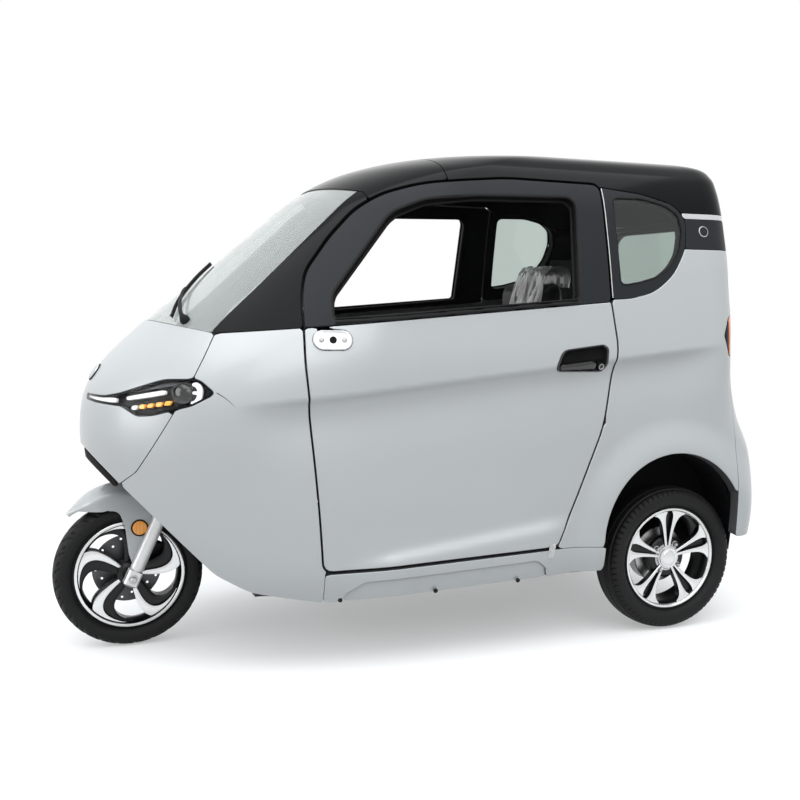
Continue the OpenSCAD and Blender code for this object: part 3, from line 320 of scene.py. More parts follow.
class Skin:
    """Grid over the whole body: levels by columns, columns run from the nose round the left side."""
    def __init__(self, per_row, nose, side, tail, cap, lo=0, hi=None):
        hi = len(ROWS) - 1 if hi is None else hi
        s = np.linspace(lo, hi, int(per_row * (hi - lo)) + 1)
        v = section(s)
        z, x0, x1, w, nl, tl = v[:, 0:1], v[:, 1:2] - v[:, 4:5], v[:, 2:3] + v[:, 5:6], v[:, 3:4], v[:, 4:5], v[:,
                5:6]
        a = np.linspace(0, math.pi / 2, nose, endpoint=False)[None]
        t = np.linspace(0, 1, side, endpoint=False)[None]
        b = np.linspace(0, math.pi / 2, tail)[None]
        rho = (np.sin(b) ** CORNER_POWER + np.abs(np.cos(b)) ** CORNER_POWER) ** (-1 / CORNER_POWER)
        x = np.hstack([x0 + nl * np.cos(a), x0 + (x1 - x0) * t, x1 - tl * rho * np.sin(b)])
        y = np.hstack([w * np.sin(a), w * (1 - SIDE_BOW * t * t), w * (1 - SIDE_BOW) * rho * np.cos(b)])
        zz = z + 0 * x
        y = y + side_form(x, zz) * ease(y / w * 2 - 0.9)
        half = np.stack([x, y, zz], 2)
        back = half[:, -2:0:-1] * np.array([1, -1, 1])
        P = np.concatenate([half, back], 1)
        mid = np.array([240, 0, ROWS[-1, 0]])
        caps = [mid + (P[-1] - mid) * (1 - k / cap) for k in range(1, cap + 1)]
        P = np.concatenate([P, np.array(caps)], 0)
        du = np.roll(P, -1, 1) - np.roll(P, 1, 1)
        dv = np.gradient(P, axis=0)
        N = np.cross(du, dv)
        N[-cap:] = (0, 0, 1)
        N /= np.maximum(np.linalg.norm(N, axis=2, keepdims=True), 1e-9)
        self.P, self.N = P, N

FINE = Skin(12, 84, 110, 48, 5)

def clip(skin, field, inset=0.0):
    """Part of the surface where field < 0, cut cleanly: points, normals, faces."""
    P = skin.P - skin.N * inset
    L, n = P.shape[:2]
    f = field(P[..., 0].ravel(), P[..., 1].ravel(), P[..., 2].ravel())
    f = np.where(np.abs(f) < 0.02, -0.02, f)
    inside = f < 0
    i = np.arange(L * n).reshape(L, n)
    r = np.roll(i, -1, 1)
    q = np.stack([i[:-1], r[:-1], r[1:], i[1:]], 2).reshape(-1, 4)
    c = inside[q].sum(1)
    faces = q[c == 4].tolist()
    pts, nrm, cuts = P.reshape(-1, 3), skin.N.reshape(-1, 3), {}
    new_p, new_n = [], []
    def cut(a, b):
        k = (a, b) if a < b else (b, a)
        if k not in cuts:
            t = f[k[0]] / (f[k[0]] - f[k[1]])
            new_p.append(pts[k[0]] * (1 - t) + pts[k[1]] * t)
            new_n.append(nrm[k[0]] * (1 - t) + nrm[k[1]] * t)
            cuts[k] = L * n + len(new_p) - 1
        return cuts[k]
    for quad in q[(c > 0) & (c < 4)].tolist():
        poly = []
        for k in range(4):
            a, b = quad[k], quad[(k + 1) % 4]
            if inside[a]:
                poly.append(a)
            if inside[a] != inside[b]:
                poly.append(cut(a, b))
        faces.append(poly)
    if new_p:
        pts, nrm = np.vstack([pts, new_p]), np.vstack([nrm, new_n])
    used = np.unique(np.concatenate([np.array(x) for x in faces])) if faces else np.array([], int)
    back = np.full(len(pts), -1)
    back[used] = np.arange(len(used))
    return pts[used], nrm[used], [[int(back[k]) for k in x] for x in faces]

def loops(faces):
    """Open edges chained into loops, with the face on the left."""
    edges = {}
    for x in faces:
        for k in range(len(x)):
            edges[(x[k], x[(k + 1) % len(x)])] = 1
    nxt = {}
    for a, b in edges:
        if (b, a) not in edges:
            nxt.setdefault(a, []).append(b)
    out = []
    while nxt:
        a = next(iter(nxt))
        ring = [a]
        while True:
            b = nxt[a].pop()
            if not nxt[a]:
                del nxt[a]
            if b == ring[0] or b not in nxt:
                break
            ring.append(b)
            a = b
        if len(ring) > 5:
            out.append(ring)
    return out

def panel(name, body, mats, field, gap=0.5, r=1.8, depth=WALL, inset=0.0, lining=True, stands_for=(), slot=None,
          skin=None):
    """Panel with rounded edges, its edge walls and its lining; gap is half the seam."""
    skin = skin or FINE
    V, N, F = clip(skin, lambda x, y, z: field(x, y, z) + gap + r, inset)
    V, N, index = list(V), list(N), [0] * len(F)
    steps = [(math.radians(a), 0) for a in (30, 60, 90)] + [(math.pi / 2, depth)]
    for ring in loops(F):
        p, m = np.array([V[k] for k in ring]), np.array([N[k] for k in ring])
        m /= np.linalg.norm(m, axis=1, keepdims=True)
        e = np.roll(p, -1, 0) - np.roll(p, 1, 0)
        t = np.cross(e, m)
        t /= np.maximum(np.linalg.norm(t, axis=1, keepdims=True), 1e-9)
        prev = ring
        for a, deep in steps:
            here = list(range(len(V), len(V) + len(ring)))
            V += list(p + t * r * math.sin(a) - m * (r * (1 - math.cos(a)) if not deep else deep))
            N += list(m * math.cos(a) + t * math.sin(a))
            for k in range(len(ring)):
                b = (k + 1) % len(ring)
                F.append([prev[b], prev[k], here[k], here[b]])
                index.append(1 if deep and len(mats) > 1 else 0)
            prev = here
    if lining:
        v2, n2, f2 = clip(skin, lambda x, y, z: field(x, y, z) + gap, inset)
        o = len(V)
        n2 = n2 / np.maximum(np.linalg.norm(n2, axis=1, keepdims=True), 1e-9)
        V += list(v2 - n2 * depth)
        N += list(-n2)
        F += [[k + o for k in x[::-1]] for x in f2]
        index += [1 if len(mats) > 1 else 0] * len(f2)
    return make(name, V, F, body, mats, N, index, stands_for=stands_for)

# outlines
def rounded(corners, n=8):
    """Outline from corners given as two coordinates and a radius."""
    c = np.asarray(corners, float)
    out = []
    for i in range(len(c)):
        a, b, d, r = c[i - 1][:2], c[i][:2], c[(i + 1) % len(c)][:2], c[i][2]
        u, v = (a - b) / np.linalg.norm(a - b), (d - b) / np.linalg.norm(d - b)
        half = math.acos(max(-1, min(1, float(u @ v)))) / 2
        if half > math.radians(89.5) or r <= 0:
            out.append(b)
            continue
        m = b + (u + v) / np.linalg.norm(u + v) * r / math.sin(half)
        s, e = b + u * r / math.tan(half), b + v * r / math.tan(half)
        a0, a1 = math.atan2(*(s - m)[::-1]), math.atan2(*(e - m)[::-1])
        w = (a1 - a0 + math.pi) % (2 * math.pi) - math.pi
        out += [m + r * np.array([math.cos(a0 + w * k / n), math.sin(a0 + w * k / n)]) for k in range(n + 1)]
    return np.array(out)

def poly_distance(outline, x, z):
    """Distance to an outline, negative inside."""
    o = np.asarray(outline, float)
    d2 = np.full(x.shape, 1e18)
    odd = np.zeros(x.shape, bool)
    for a, b in zip(o, np.roll(o, -1, 0)):
        ex, ez = b - a
        px, pz = x - a[0], z - a[1]
        h = np.clip((px * ex + pz * ez) / max(ex * ex + ez * ez, 1e-9), 0, 1)
        d2 = np.minimum(d2, (px - ex * h) ** 2 + (pz - ez * h) ** 2)
        cross = (a[1] > z) != (b[1] > z)
        if abs(ez) > 1e-9:
            odd ^= cross & (x < a[0] + (z - a[1]) * ex / ez)
    d = np.sqrt(d2)
    return np.where(odd, -d, d)

BELT = (1273, 1029, 0.0801)
def belt(x):
    return BELT[1] + (BELT[0] - x) * BELT[2]

DOOR = rounded([[1230, 311, 25], [1279, 930, 700], [1270, 1120, 300], [1246, 1196, 150], [1164, 1300, 600],
                [1080, 1386, 300],
                [1001, 1434, 300], [883, 1469, 600], [600, 1495, 900], [268, 1490, 25], [264, 1110, 100],
                [247, 960, 220],
                [300, 712, 500], [466, 334, 25]])
WINDOW = rounded([[1192, 1054, 14], [1188, 1128, 70], [990, 1378, 130], [880, 1422, 200], [700, 1438, 500],
                  [362, 1446, 38],
                  [378, 1117, 16]])
TRIM = rounded([[259, 1118, 12], [263, 1482, 8], [110, 1466, 300], [-10, 1436, 90], [-52, 1385, 60], [-42, 1290, 150],
                [14, 1202, 200], [92, 1144, 200], [180, 1122, 300]])
PANE = rounded([[226, 1449, 18], [110, 1451, 150], [20, 1430, 100], [-24, 1400, 40], [-33, 1345, 80],
                [-16, 1278, 120],
                [24, 1228, 120], [78, 1193, 150], [150, 1174, 200], [200, 1166, 60], [224, 1168, 16]])
COWL, HEADER = (1510, 1011, 0.23), (1041, 1443, 0.3)
NOSE_CORNER, NOSE_LIP, NOSE_KNEE = (1775, 560), (1855, 648), (1734, 602)
SILL_X, FAR = 1226, 3000
def cowl_z(x):
    return COWL[1] + (x - COWL[0]) * COWL[2]
def header_z(x):
    return HEADER[1] + (x - HEADER[0]) * HEADER[2]
NOSE = [COWL[:2], NOSE_KNEE, NOSE_CORNER, NOSE_LIP, (2055, 868), (2100, 1100), (2000, cowl_z(2000))]
QUARTER = rounded([[*NOSE_CORNER, 0], [1528, 300, 120], [1430, 246, 160], [SILL_X, 213, 0], [SILL_X, 301, 0],
                   [1200, 400, 0],
                   [1200, belt(1200), 0], [*COWL[:2], 0], [*NOSE_KNEE, 0]])
PILLAR = [COWL[:2], (1810, cowl_z(1810)), (1341, header_z(1341)), HEADER[:2], (1033, 1398), (981, 1398), (1200, 1150),
          (1200, belt(1200))]
SCREEN_SIDE = [COWL[:2], (FAR, cowl_z(FAR)), (FAR, header_z(FAR)), HEADER[:2], (841, header_z(841)),
               (1310, cowl_z(1310))]
SCREEN_FRONT = [(-361, 991), (361, 991), (311, 1443), (308, 1563), (-308, 1563), (-311, 1443)]
BAND_LOW, STRIP_LOW, BAND_HIGH, TAIL_X, TAIL_LOW, ROOF_SPLIT = 1288, 1389, 1408, -225, 312, 800
ROOF = [(FAR, header_z(FAR)), HEADER[:2], (1033, 1398), (900, 1398), (900, 1440), (300, 1440), (100, 1420),
        (-20, BAND_HIGH), (-FAR, BAND_HIGH), (-FAR, FAR), (FAR, FAR)]
REAR_QUARTER = [(480, 324), (480, 600), (290, 720), (264, belt(264)), (258, 1116), (100, 1300), (-10, BAND_LOW),
                (TAIL_X, BAND_LOW), (TAIL_X, TAIL_LOW), (ARCH_X, TAIL_LOW - 40), (290, 318)]
SILL = [(SILL_X, 301), (470, 324), (290, 318), (290, 238), (520, 236), (SILL_X, 213)]
REAR_WINDOW = rounded([[-350, 985, 50], [350, 985, 50], [318, 1375, 60], [-318, 1375, 60]])
LAMP_TURN, LAMP_BACK = math.radians(42), 1400
TAIL_LAMP_IN, AMBER_FROM, RED_FROM = 425, -207, -248
LAMP = rounded([[-1196, 819, 4], [-1075, 820, 250], [-1005, 832, 250], [-848, 878, 160], [-737, 881, 50],
                [-681, 840, 10],
                [-748, 803, 90], [-868, 772, 90], [-925, 767, 50], [-990, 794, 60], [-1127, 798, 200],
                [-1196, 803, 4]])
TAIL_LAMP = rounded([[-178, 1000, 15], [-207, 1062, 10], [-330, 1062, 0], [-330, 930, 0], [-207, 930, 10]])
HANDLE = rounded([[480, 892, 12], [471, 910, 20], [450, 956, 34], [300, 973, 18], [283, 962, 12], [286, 905, 22],
                  [304, 889, 14]])
MIRROR = (1198, 994, 112, 56)

def on_side(outline):
    """Field over a side-view outline; both sides."""
    return lambda x, y, z: poly_distance(outline, x, z)
def left(f):
    return lambda x, y, z: np.where(y > 0, f(x, y, z), 1e3)
def right(f):
    return lambda x, y, z: np.where(y < 0, f(x, y, z), 1e3)
def both(*fs):
    return lambda x, y, z: np.maximum.reduce([f(x, y, z) for f in fs])
def without(f, *cuts, grow=0.0):
    return lambda x, y, z: np.maximum.reduce([f(x, y, z)] + [grow - c(x, y, z) for c in cuts])
def grown(f, g):
    return lambda x, y, z: f(x, y, z) - g
door_f, window_f, trim_f, pane_f = on_side(DOOR), on_side(WINDOW), on_side(TRIM), on_side(PANE)
def arch_f(x, y, z):
    return np.hypot(x - ARCH_X, np.maximum(0, z - ARCH_Z)) - ARCH_R
def above_belt(x, y, z):
    return (belt(x) - z) / math.hypot(1, BELT[2])
def below_belt(x, y, z):
    return -above_belt(x, y, z)
def lamp_shape(rows):
    """Field over an outline in the lamp's view: distance across and height."""
    def field(x, y, z):
        across = -np.sin(LAMP_TURN) * x + np.cos(LAMP_TURN) * np.abs(y)
        return np.where(x > LAMP_BACK, poly_distance(rows, across, z), 1e3)
    return field
lamp_f = lamp_shape(LAMP)
def screen_f(x, y, z):
    return np.where(x > 600, np.maximum(poly_distance(SCREEN_SIDE, x, z), poly_distance(SCREEN_FRONT, y, z)), 1e3)
def rear_window_f(x, y, z):
    return np.where(x < 0, poly_distance(REAR_WINDOW, y, z), 1e3)
def tail_lamp_f(x, y, z):
    return np.maximum(poly_distance(TAIL_LAMP, x, z), TAIL_LAMP_IN - np.abs(y))
def mirror_f(x, y, z):
    k = (MIRROR[2] - MIRROR[3]) / 2
    return np.hypot(np.maximum(np.abs(x - MIRROR[0]) - k, 0), z - MIRROR[1]) - MIRROR[3] / 2
handle_f = on_side(HANDLE)
def tail_f(x, y, z):
    return np.maximum.reduce([x - TAIL_X, TAIL_LOW - z, z - BAND_LOW])

DOOR_SEAM = 4.4
SIDES = (("left", left, 1), ("right", right, -1))
paint = [SILVER, SILVER_IN]
gloss = [BLACK, DARK]
trim = [FRAME, DARK]
door_hole = grown(door_f, DOOR_SEAM)

def skin_of(node, mats, field, **more):
    panel(f"{node}_skin", "chassis", mats, field, stands_for=(node,), **more)

skin_of("nose_panel", paint, without(on_side(NOSE), screen_f, lamp_f, on_side(PILLAR)))
skin_of("front_quarters", paint, without(on_side(QUARTER), door_hole, lamp_f, screen_f))
GROOVE = rounded([[1168, 210, 0], [1162, 238, 6], [1106, 273, 20], [835, 282, 0], [540, 293, 14], [506, 268, 14],
                  [498, 225, 0]])
groove_f = on_side(GROOVE)
skin_of("sills", paint, without(on_side(SILL), door_hole, groove_f), gap=0.4)
panel("sill_hollow", "chassis", paint, both(on_side(SILL), groove_f), gap=-1.0, r=1.0, depth=30, inset=7.0)
skin_of("rear_quarters", paint, without(on_side(REAR_QUARTER), door_hole, arch_f, trim_f, tail_lamp_f), r=3.0)
skin_of("tail_panel", paint, without(tail_f, rear_window_f, tail_lamp_f))
band_f = on_side([(-10, BAND_LOW), (-10, BAND_HIGH), (-FAR, BAND_HIGH), (-FAR, BAND_LOW)])
skin_of("rear_band", trim, without(both(band_f, lambda x, y, z: z - STRIP_LOW), trim_f, rear_window_f))
panel("rear_band_strip", "chassis", [PLATE_SILVER, DARK], without(both(band_f, lambda x, y, z: STRIP_LOW - z),
        trim_f, rear_window_f), r=1.6)
roof_f = without(on_side(ROOF), door_hole, trim_f, screen_f)
skin_of("roof", gloss, both(roof_f, lambda x, y, z: x - ROOF_SPLIT), gap=0.7)
panel("roof_front_cap", "chassis", gloss, both(roof_f, lambda x, y, z: ROOF_SPLIT - x), gap=0.7)
skin_of("a_pillars", gloss, without(on_side(PILLAR), door_hole, screen_f))
skin_of("quarter_trims", trim, without(trim_f, pane_f, door_hole), r=3.5)
for name, mat, field, node in (("windscreen_pane", SCREEN_PAINTED_REFLECTION, screen_f, "windscreen"),
                               ("quarter_panes", TINTED, pane_f, "quarter_glass"),
                               ("rear_pane", GLASS, rear_window_f, "rear_window")):
    panel(name, "chassis", [mat], field, gap=0.3, r=1.0, depth=5, inset=3, stands_for=(node,))
for side, half, sg in SIDES:
    body = f"door_{side}_body"
    panel(f"door_{side}_skin", body, paint, half(without(both(door_f, below_belt), mirror_f, handle_f)), gap=0.6,
          r=3.2,
          stands_for=(f"door_{side}",))
    panel(f"door_frame_{side}_skin", body, trim, half(without(both(door_f, above_belt), window_f)), gap=0.4, r=4.0,
          stands_for=(f"door_frame_{side}",))

# Places on the body surface
ROW_S = np.linspace(0, len(ROWS) - 1, 3201)
ROW_V = section(ROW_S)

def row_at(z):
    s = np.interp(z, ROW_V[:, 0], ROW_S)
    return section(np.atleast_1d(s))

def side_y(x, z):
    """Half width of the body at a station and a height."""
    x, z = np.broadcast_arrays(np.asarray(x, float), np.asarray(z, float))
    shape = x.shape
    x, z = x.ravel(), z.ravel()
    v = row_at(z)
    x0, x1 = v[:, 1] - v[:, 4], v[:, 2] + v[:, 5]
    nose = v[:, 3] * np.sqrt(np.clip(1 - ((x - x0) / v[:, 4]) ** 2, 0, 1))
    t = (x0 - x) / (x0 - x1)
    mid = v[:, 3] * (1 - SIDE_BOW * t * t)
    k = np.clip((x1 - x) / v[:, 5], 0, 1)
    tail = v[:, 3] * (1 - SIDE_BOW) * (1 - k ** CORNER_POWER) ** (1 / CORNER_POWER)
    y = np.where(x > x0, nose, np.where(x > x1, mid, tail))
    return (y + side_form(x, z) * ease(y / v[:, 3] * 2 - 0.9)).reshape(shape)

def on_skin(x, z, off=0.0, sg=1):
    """Points on the side of the body, set out along the surface normal."""
    x, z = np.broadcast_arrays(np.asarray(x, float), np.asarray(z, float))
    y, e = side_y(x, z), 2.0
    n = np.stack([-(side_y(x + e, z) - side_y(x - e, z)) / (2 * e), np.ones(x.shape),
                  -(side_y(x, z + e) - side_y(x, z - e)) / (2 * e)], -1)
    n /= np.linalg.norm(n, axis=-1, keepdims=True)
    p = np.stack([x, y, z], -1) + n * np.asarray(off, float)[..., None]
    return p * np.array([1, sg, 1])

def front_point(y, z, off=0.0):
    """Points on the front of the body, set out along the surface normal."""
    def x_at(y, z):
        v = row_at(z)[0]
        return v[1] - v[4] + v[4] * math.sqrt(max(0, 1 - (y / v[3]) ** 2))
    x = x_at(y, z)
    n = np.array([1, -(x_at(y + 2, z) - x_at(y - 2, z)) / 4, -(x_at(y, z + 2) - x_at(y, z - 2)) / 4])
    n /= np.linalg.norm(n)
    return np.array([x, y, z]) + n * off, n

def dish(heap, outline, rings, sg=1, m=0):
    """Form over a side outline: rings give a share of the outline and a height above the skin."""
    o = np.asarray(outline, float)
    c = (o.max(0) + o.min(0)) / 2
    stack = np.array([on_skin(*(c + (o - c) * k).T, off=h + 0 * o[:, 0], sg=sg) for k, h in rings])
    v, f = sweep_grid(stack)
    if sg > 0:
        f = [q[::-1] for q in f]
    heap.add(v, f, m if np.isscalar(m) else [m[i // len(o)] for i in range(len(f))])

def local(points, origin, normal, up=(0, 0, 1)):
    """Points given as across, along up, and out, placed at a point with a normal."""
    n = np.asarray(normal, float) / np.linalg.norm(normal)
    a = np.cross(np.asarray(up, float), n)
    a /= np.linalg.norm(a)
    b = np.cross(n, a)
    p = np.asarray(points, float)
    return np.asarray(origin, float) + p[:, :1] * a + p[:, 1:2] * b + p[:, 2:] * n

def turned(profile, origin, normal, n=24):
    """Turned form about a normal: profile rows are radius and height."""
    v, f = revolve(profile, n)
    return local(v[:, [0, 2, 1]], origin, normal), f

def stud(heap, profile, x, z, off, sg, n, m):
    """Turned form on the side of the body."""
    at = on_skin(x, z, off, sg)
    heap.add(*turned(profile, at, on_skin(x, z, off + 1, sg) - at, n), m)

def bolt(heap, origin, normal, r=8.0, h=6.0, m=0, hexed=True):
    """Bolt head with a washer and a chamfer."""
    heap.add(*turned([(r * 1.45, 0), (r * 1.45, 1.4), (r * 1.3, 2.0), (r * 0.9, 2.0)], origin, normal), m)
    v, f = turned([(r, 1.8), (r, h * 0.8), (r * 0.82, h), (r * 0.45, h), (r * 0.4, h - 1.2), (0.01, h - 1.2)], origin,
                  normal, 6 if hexed else 20)
    heap.add(v, f, m)

def slab(heap, outline, y0, y1, at=(0, 0), bevel=1.5, m=0):
    """Flat plate over an outline in x and z, with eased edges."""
    o = np.asarray(outline, float)
    c = (o.max(0) + o.min(0)) / 2
    d = np.roll(o, -1, 0) - np.roll(o, 1, 0)
    n = np.stack([d[:, 1], -d[:, 0]], 1) / np.linalg.norm(d, axis=1, keepdims=True)
    area = np.sum(o[:, 0] * np.roll(o[:, 1], -1) - np.roll(o[:, 0], -1) * o[:, 1])
    n *= np.sign(area)
    inner = o - n * bevel
    rows = [(inner, y0), (o, y0 + bevel), (o, y1 - bevel), (inner, y1)]
    stack = np.array([np.stack([p[:, 0] + at[0], np.full(len(p), y), p[:, 1] + at[1]], 1) for p, y in rows])
    v, f = sweep_grid(stack, True, True)
    if area > 0:
        f = [q[::-1] for q in f]
    heap.add(v, f, m)

# Materials on the solids that stay
KEPT = {"frame": STEEL, "floor_pan": FLOOR_MAT, "front_bulkheads": DARK, "wheelhouses": LINER, "dashboard": DARK,
        "seat_base": DARK, "battery": LINER, "door_hinges": STEEL, "rear_axle": STEEL, "leaf_springs": STEEL,
        "handlebar": RUBBER, "front_disc": DISC, "door_knuckles_left": STEEL, "door_knuckles_right": STEEL}
for name, mat in KEPT.items():
    data = frame["nodes"][name].data
    data.materials.clear()
    data.materials.append(mat)

# Tyres
def tyre(name, body, centre, d, w, stands_for, grooves, n=420, m=29, sg=1):
    a = np.radians(np.linspace(-145, 145, 2 * m + 1))
    flange = 172.0
    mid, h = (d / 2 + flange) / 2, (d / 2 - flange) / 2
    r = np.concatenate([[160.5], mid + h * np.sign(np.cos(a)) * np.abs(np.cos(a)) ** 0.8, [160.5]])
    y = np.concatenate([[-0.31 * w], w / 2 * np.sign(np.sin(a)) * np.abs(np.sin(a)) ** 0.8, [0.31 * w]])
    s = np.concatenate([[-1.1], np.linspace(-1, 1, 2 * m + 1), [1.1]])
    t = np.linspace(0, 2 * math.pi, n, endpoint=False)
    cut = grooves(s[None] * sg, t[:, None] * np.ones_like(s)[None])
    ring = 1.0 * (np.abs(np.abs(s) - 0.73) < 0.018) + 0.8 * (np.abs(np.abs(s) - 0.84) < 0.014)
    rr = r[None] - cut * np.cos(np.concatenate([[2.5], a, [2.5]]))[None]
    yy = (y * (1 - 0.012 * ring))[None] - cut * np.sin(np.concatenate([[-2.5], a, [2.5]]))[None]
    P = np.stack([rr * np.cos(t)[:, None], yy, rr * np.sin(t)[:, None]], 2) + np.asarray(centre)
    k, c = P.shape[:2]
    i = np.arange(k * c).reshape(k, c)
    q = np.stack([i[:, :-1], np.roll(i, -1, 0)[:, :-1], np.roll(i, -1, 0)[:, 1:], i[:, 1:]], 2).reshape(-1, 4)
    ob = make(name, P.reshape(-1, 3), q[:, ::-1].tolist(), body, TYRE, stands_for=stands_for)
    ob.data.set_sharp_from_angle(angle=math.radians(32))

def front_grooves(s, t):
    """Slanted cuts from the middle of the tread out to the shoulder, staggered side to side."""
    q = (t * 26 / (2 * math.pi) + np.where(s > 0, 0.5, 0) - 1.5 * np.abs(s) + 0.5 * np.maximum(np.abs(s) - 0.28,
            0)) % 1
    slant = ease((0.13 - np.abs(q - 0.5)) / 0.05) * ease((np.abs(s) - 0.05) / 0.02) * ease((0.52 - np.abs(s)) / 0.03)
    q2 = (t * 26 / (2 * math.pi) + np.where(s > 0, 0.0, 0.5) - 1.2 * np.abs(s)) % 1
    short = ease((0.08 - np.abs(q2 - 0.5)) / 0.04) * ease((np.abs(s) - 0.28) / 0.02) * ease((0.46 - np.abs(s)) / 0.03)
    return 3.6 * np.maximum(slant, short)

def rear_grooves(s, t):
    """Four grooves round the tread, fine cuts across it and blocks on the shoulder."""
    rings = sum(ease((0.030 - np.abs(np.abs(s) - c)) / 0.012) for c in (0.10, 0.29))
    q = (t * 70 / (2 * math.pi) + 0.35 * np.abs(s)) % 1
    cross = ease((0.10 - np.abs(q - 0.5)) / 0.06) * ease((np.abs(s) - 0.30) / 0.02) * ease((0.50 - np.abs(s)) / 0.02)
    fine = 0.5 * ease((0.07 - np.abs(q - 0.5)) / 0.05) * ease((0.28 - np.abs(s)) / 0.02) * ease((np.abs(s) - 0.12) / 0.02)
    return 3.4 * np.maximum(np.minimum(rings, 1), np.maximum(cross, fine))

FRONT = np.array([1724.0, 0, 233.5])
tyre("front_tyre_tread", "front_wheel", FRONT, 467, 95, ("front_tyre",), front_grooves)
for side, half, sg in SIDES:
    tyre(f"rear_tyre_{side}_tread", f"rear_wheel_{side}", (0, sg * 460, 244), 488, 130, (f"rear_tyre_{side}",),
         rear_grooves)

# Wheels
def polar(rows, n):
    """Smooth line through rows of radius and angle in degrees."""
    p = smooth_line(np.asarray(rows, float), n)
    return p[:, 0], np.radians(p[:, 1])

def ribbon(heap, lead, trail, y, depth, turn, sg, centre, m, mside, n=30, across=6, crown=1.2):
    """Spoke face between two edges, crowned, with side walls; y is a function of radius."""
    r0, a0 = polar(lead, n)
    r1, a1 = polar(trail, n)
    k = np.linspace(0, 1, across)[None]
    r = r0[:, None] * (1 - k) + r1[:, None] * k
    a = a0[:, None] * (1 - k) + a1[:, None] * k + turn
    face = y(r) - crown * (2 * k - 1) ** 4
    top = np.stack([r * np.cos(a), face, r * np.sin(a)], 2)
    low0, low1 = top[:, :1] - [0, depth, 0], top[:, -1:] - [0, depth, 0]
    grid = np.concatenate([low0, top, low1], 1) * np.array([1, sg, 1]) + np.asarray(centre)
    c = across + 2
    f, mm = [], []
    for i in range(n - 1):
        for j in range(c - 1):
            q = [i * c + j, i * c + j + 1, (i + 1) * c + j + 1, (i + 1) * c + j]
            f.append(q if sg > 0 else q[::-1])
            mm.append(m if 0 < j < c - 2 else mside)
    heap.add(grid.reshape(-1, 3), f, mm)

def spun(heap, profile, centre, sg, m, n=96):
    v, f = revolve(profile, n)
    heap.add(v * np.array([1, sg, 1]) + np.asarray(centre), [q[::-1] for q in f] if sg > 0 else f, m)

wheel_mats = [RIM, MACHINED, BARE]
front = Heap()
for sg in (1, -1):
    spun(front, [(171, 33), (171, 38.5), (169.5, 39.4), (163, 39.4), (161.5, 38)], FRONT, sg, 1, 120)
    spun(front, [(161.5, 38), (157, 30), (152, 18), (150, 0)], FRONT, sg, 0, 120)
    spun(front, [(171, 33), (160.3, 32.4), (160.3, 0)], FRONT, sg, 0, 120)
    spun(front, [(0.01, 53.5), (17, 53.5), (19, 52), (21, 44), (24, 40), (33, 38), (38, 34), (39, 26), (39, 0)],
         FRONT, sg, 0, 64)
    face = lambda r: 27 - 3.0 * np.cos(np.clip((r - 40) / 110, 0, 1) * math.pi)
    for k in range(5):
        turn = math.radians(72 * k + 34)
        lead = [(34, 11), (60, 10), (90, 8), (120, 5), (142, 1), (155, -3), (160.5, -8), (161.5, -25), (161.5, -44),
                (161.5, -61)]
        trail = [(34, -3), (60, -3), (90, -4), (115, -7), (133, -12), (145, -19), (151, -28), (155, -38), (158, -49),
                 (160, -60)]
        ribbon(front, lead, trail, lambda r: face(r) + 2.5, 13, turn, sg, FRONT, 1, 0)
        body_lead = [(34, 4), (60, 2), (90, 0), (114, -3), (133, -8), (146, -18), (153, -32), (157.5, -48),
                     (159, -58)]
        body_trail = [(34, -40), (55, -32), (80, -26), (105, -25), (124, -29), (139, -37), (149, -47), (154, -57),
                      (157, -64)]
        ribbon(front, body_lead, body_trail, lambda r: face(r) - 3.5, 26, turn, sg, FRONT, 0, 0, crown=4.0)
front.piece("front_rim_cast", "front_wheel", wheel_mats, ("front_rim",))

for side, half, sg in SIDES:
    centre = np.array([0, sg * 460.0, 244])
    rim = Heap()
    for profile, m, n in (
            ([(171, 43.5), (171, 49.2), (169.5, 50.2), (165, 50.2), (162, 47.5), (160, 42)], 1, 120),
            ([(160, 42), (155, 34), (151, 20), (149, -44), (171, -50.2)], 0, 120),
            ([(171, 43.5), (160.3, 43), (160.3, -43), (171, -50.2)], 0, 120),
            ([(96, -25), (94, -22), (60, -18), (52, 8), (52, 24), (48, 28), (30, 30)], 2, 72),
            ([(15.2, -70), (95, -70), (96, -68), (96, -25)], 2, 72),
            ([(72, 4), (70, 20), (64, 26), (50, 28), (30, 29)], 0, 72),
            ([(35, 29), (35, 38), (33.5, 40.5), (31, 41), (29, 40), (24, 40), (23, 41.2), (21, 42.2), (12, 43),
              (0.01, 43.2)], 1, 64),
            ([(39, 30), (40, 33), (38, 36), (35, 36.5)], 1, 64)):
        spun(rim, profile, centre, sg, m, n)
    face = lambda r: 34 + 9 * ((r - 30) / 130) ** 2
    for k in range(5):
        turn = math.radians(72 * k + 18 + 36 * (sg < 0))
        for s in (1, -1):
            lead = [(36, s * 3), (62, s * 4.5), (95, s * 5.5), (125, s * 6.2), (146, s * 5.5), (161, s * 3)]
            trail = [(36, s * 15), (62, s * 13), (95, s * 12.5), (125, s * 14), (146, s * 17.5), (161, s * 24)]
            if s < 0:
                lead, trail = trail, lead
            ribbon(rim, trail, lead, face, 24, turn, sg, centre, 1, 0, crown=1.6)
        ribbon(rim, [(58, 14), (100, 13), (152, 16)], [(58, -14), (100, -13), (152, -16)], lambda r: face(r) - 14,
               10, turn, sg,
               centre, 0, 0, n=12)
    for k in range(4):
        a = math.radians(90 * k + 36)
        at = centre + np.array([52 * math.cos(a), sg * 27, 52 * math.sin(a)])
        rim.add(*turned([(8.6, 0), (8.6, 7), (7.4, 10), (5.5, 14), (3, 16), (0.01, 16.5)], at, (0, sg, 0), 6), 2)
        rim.add(*turned([(11, 0), (11, 1.6), (8, 2.2)], at, (0, sg, 0), 20), 2)
    rim.piece(f"rear_rim_{side}_cast", f"rear_wheel_{side}", wheel_mats, (f"rear_rim_{side}",))

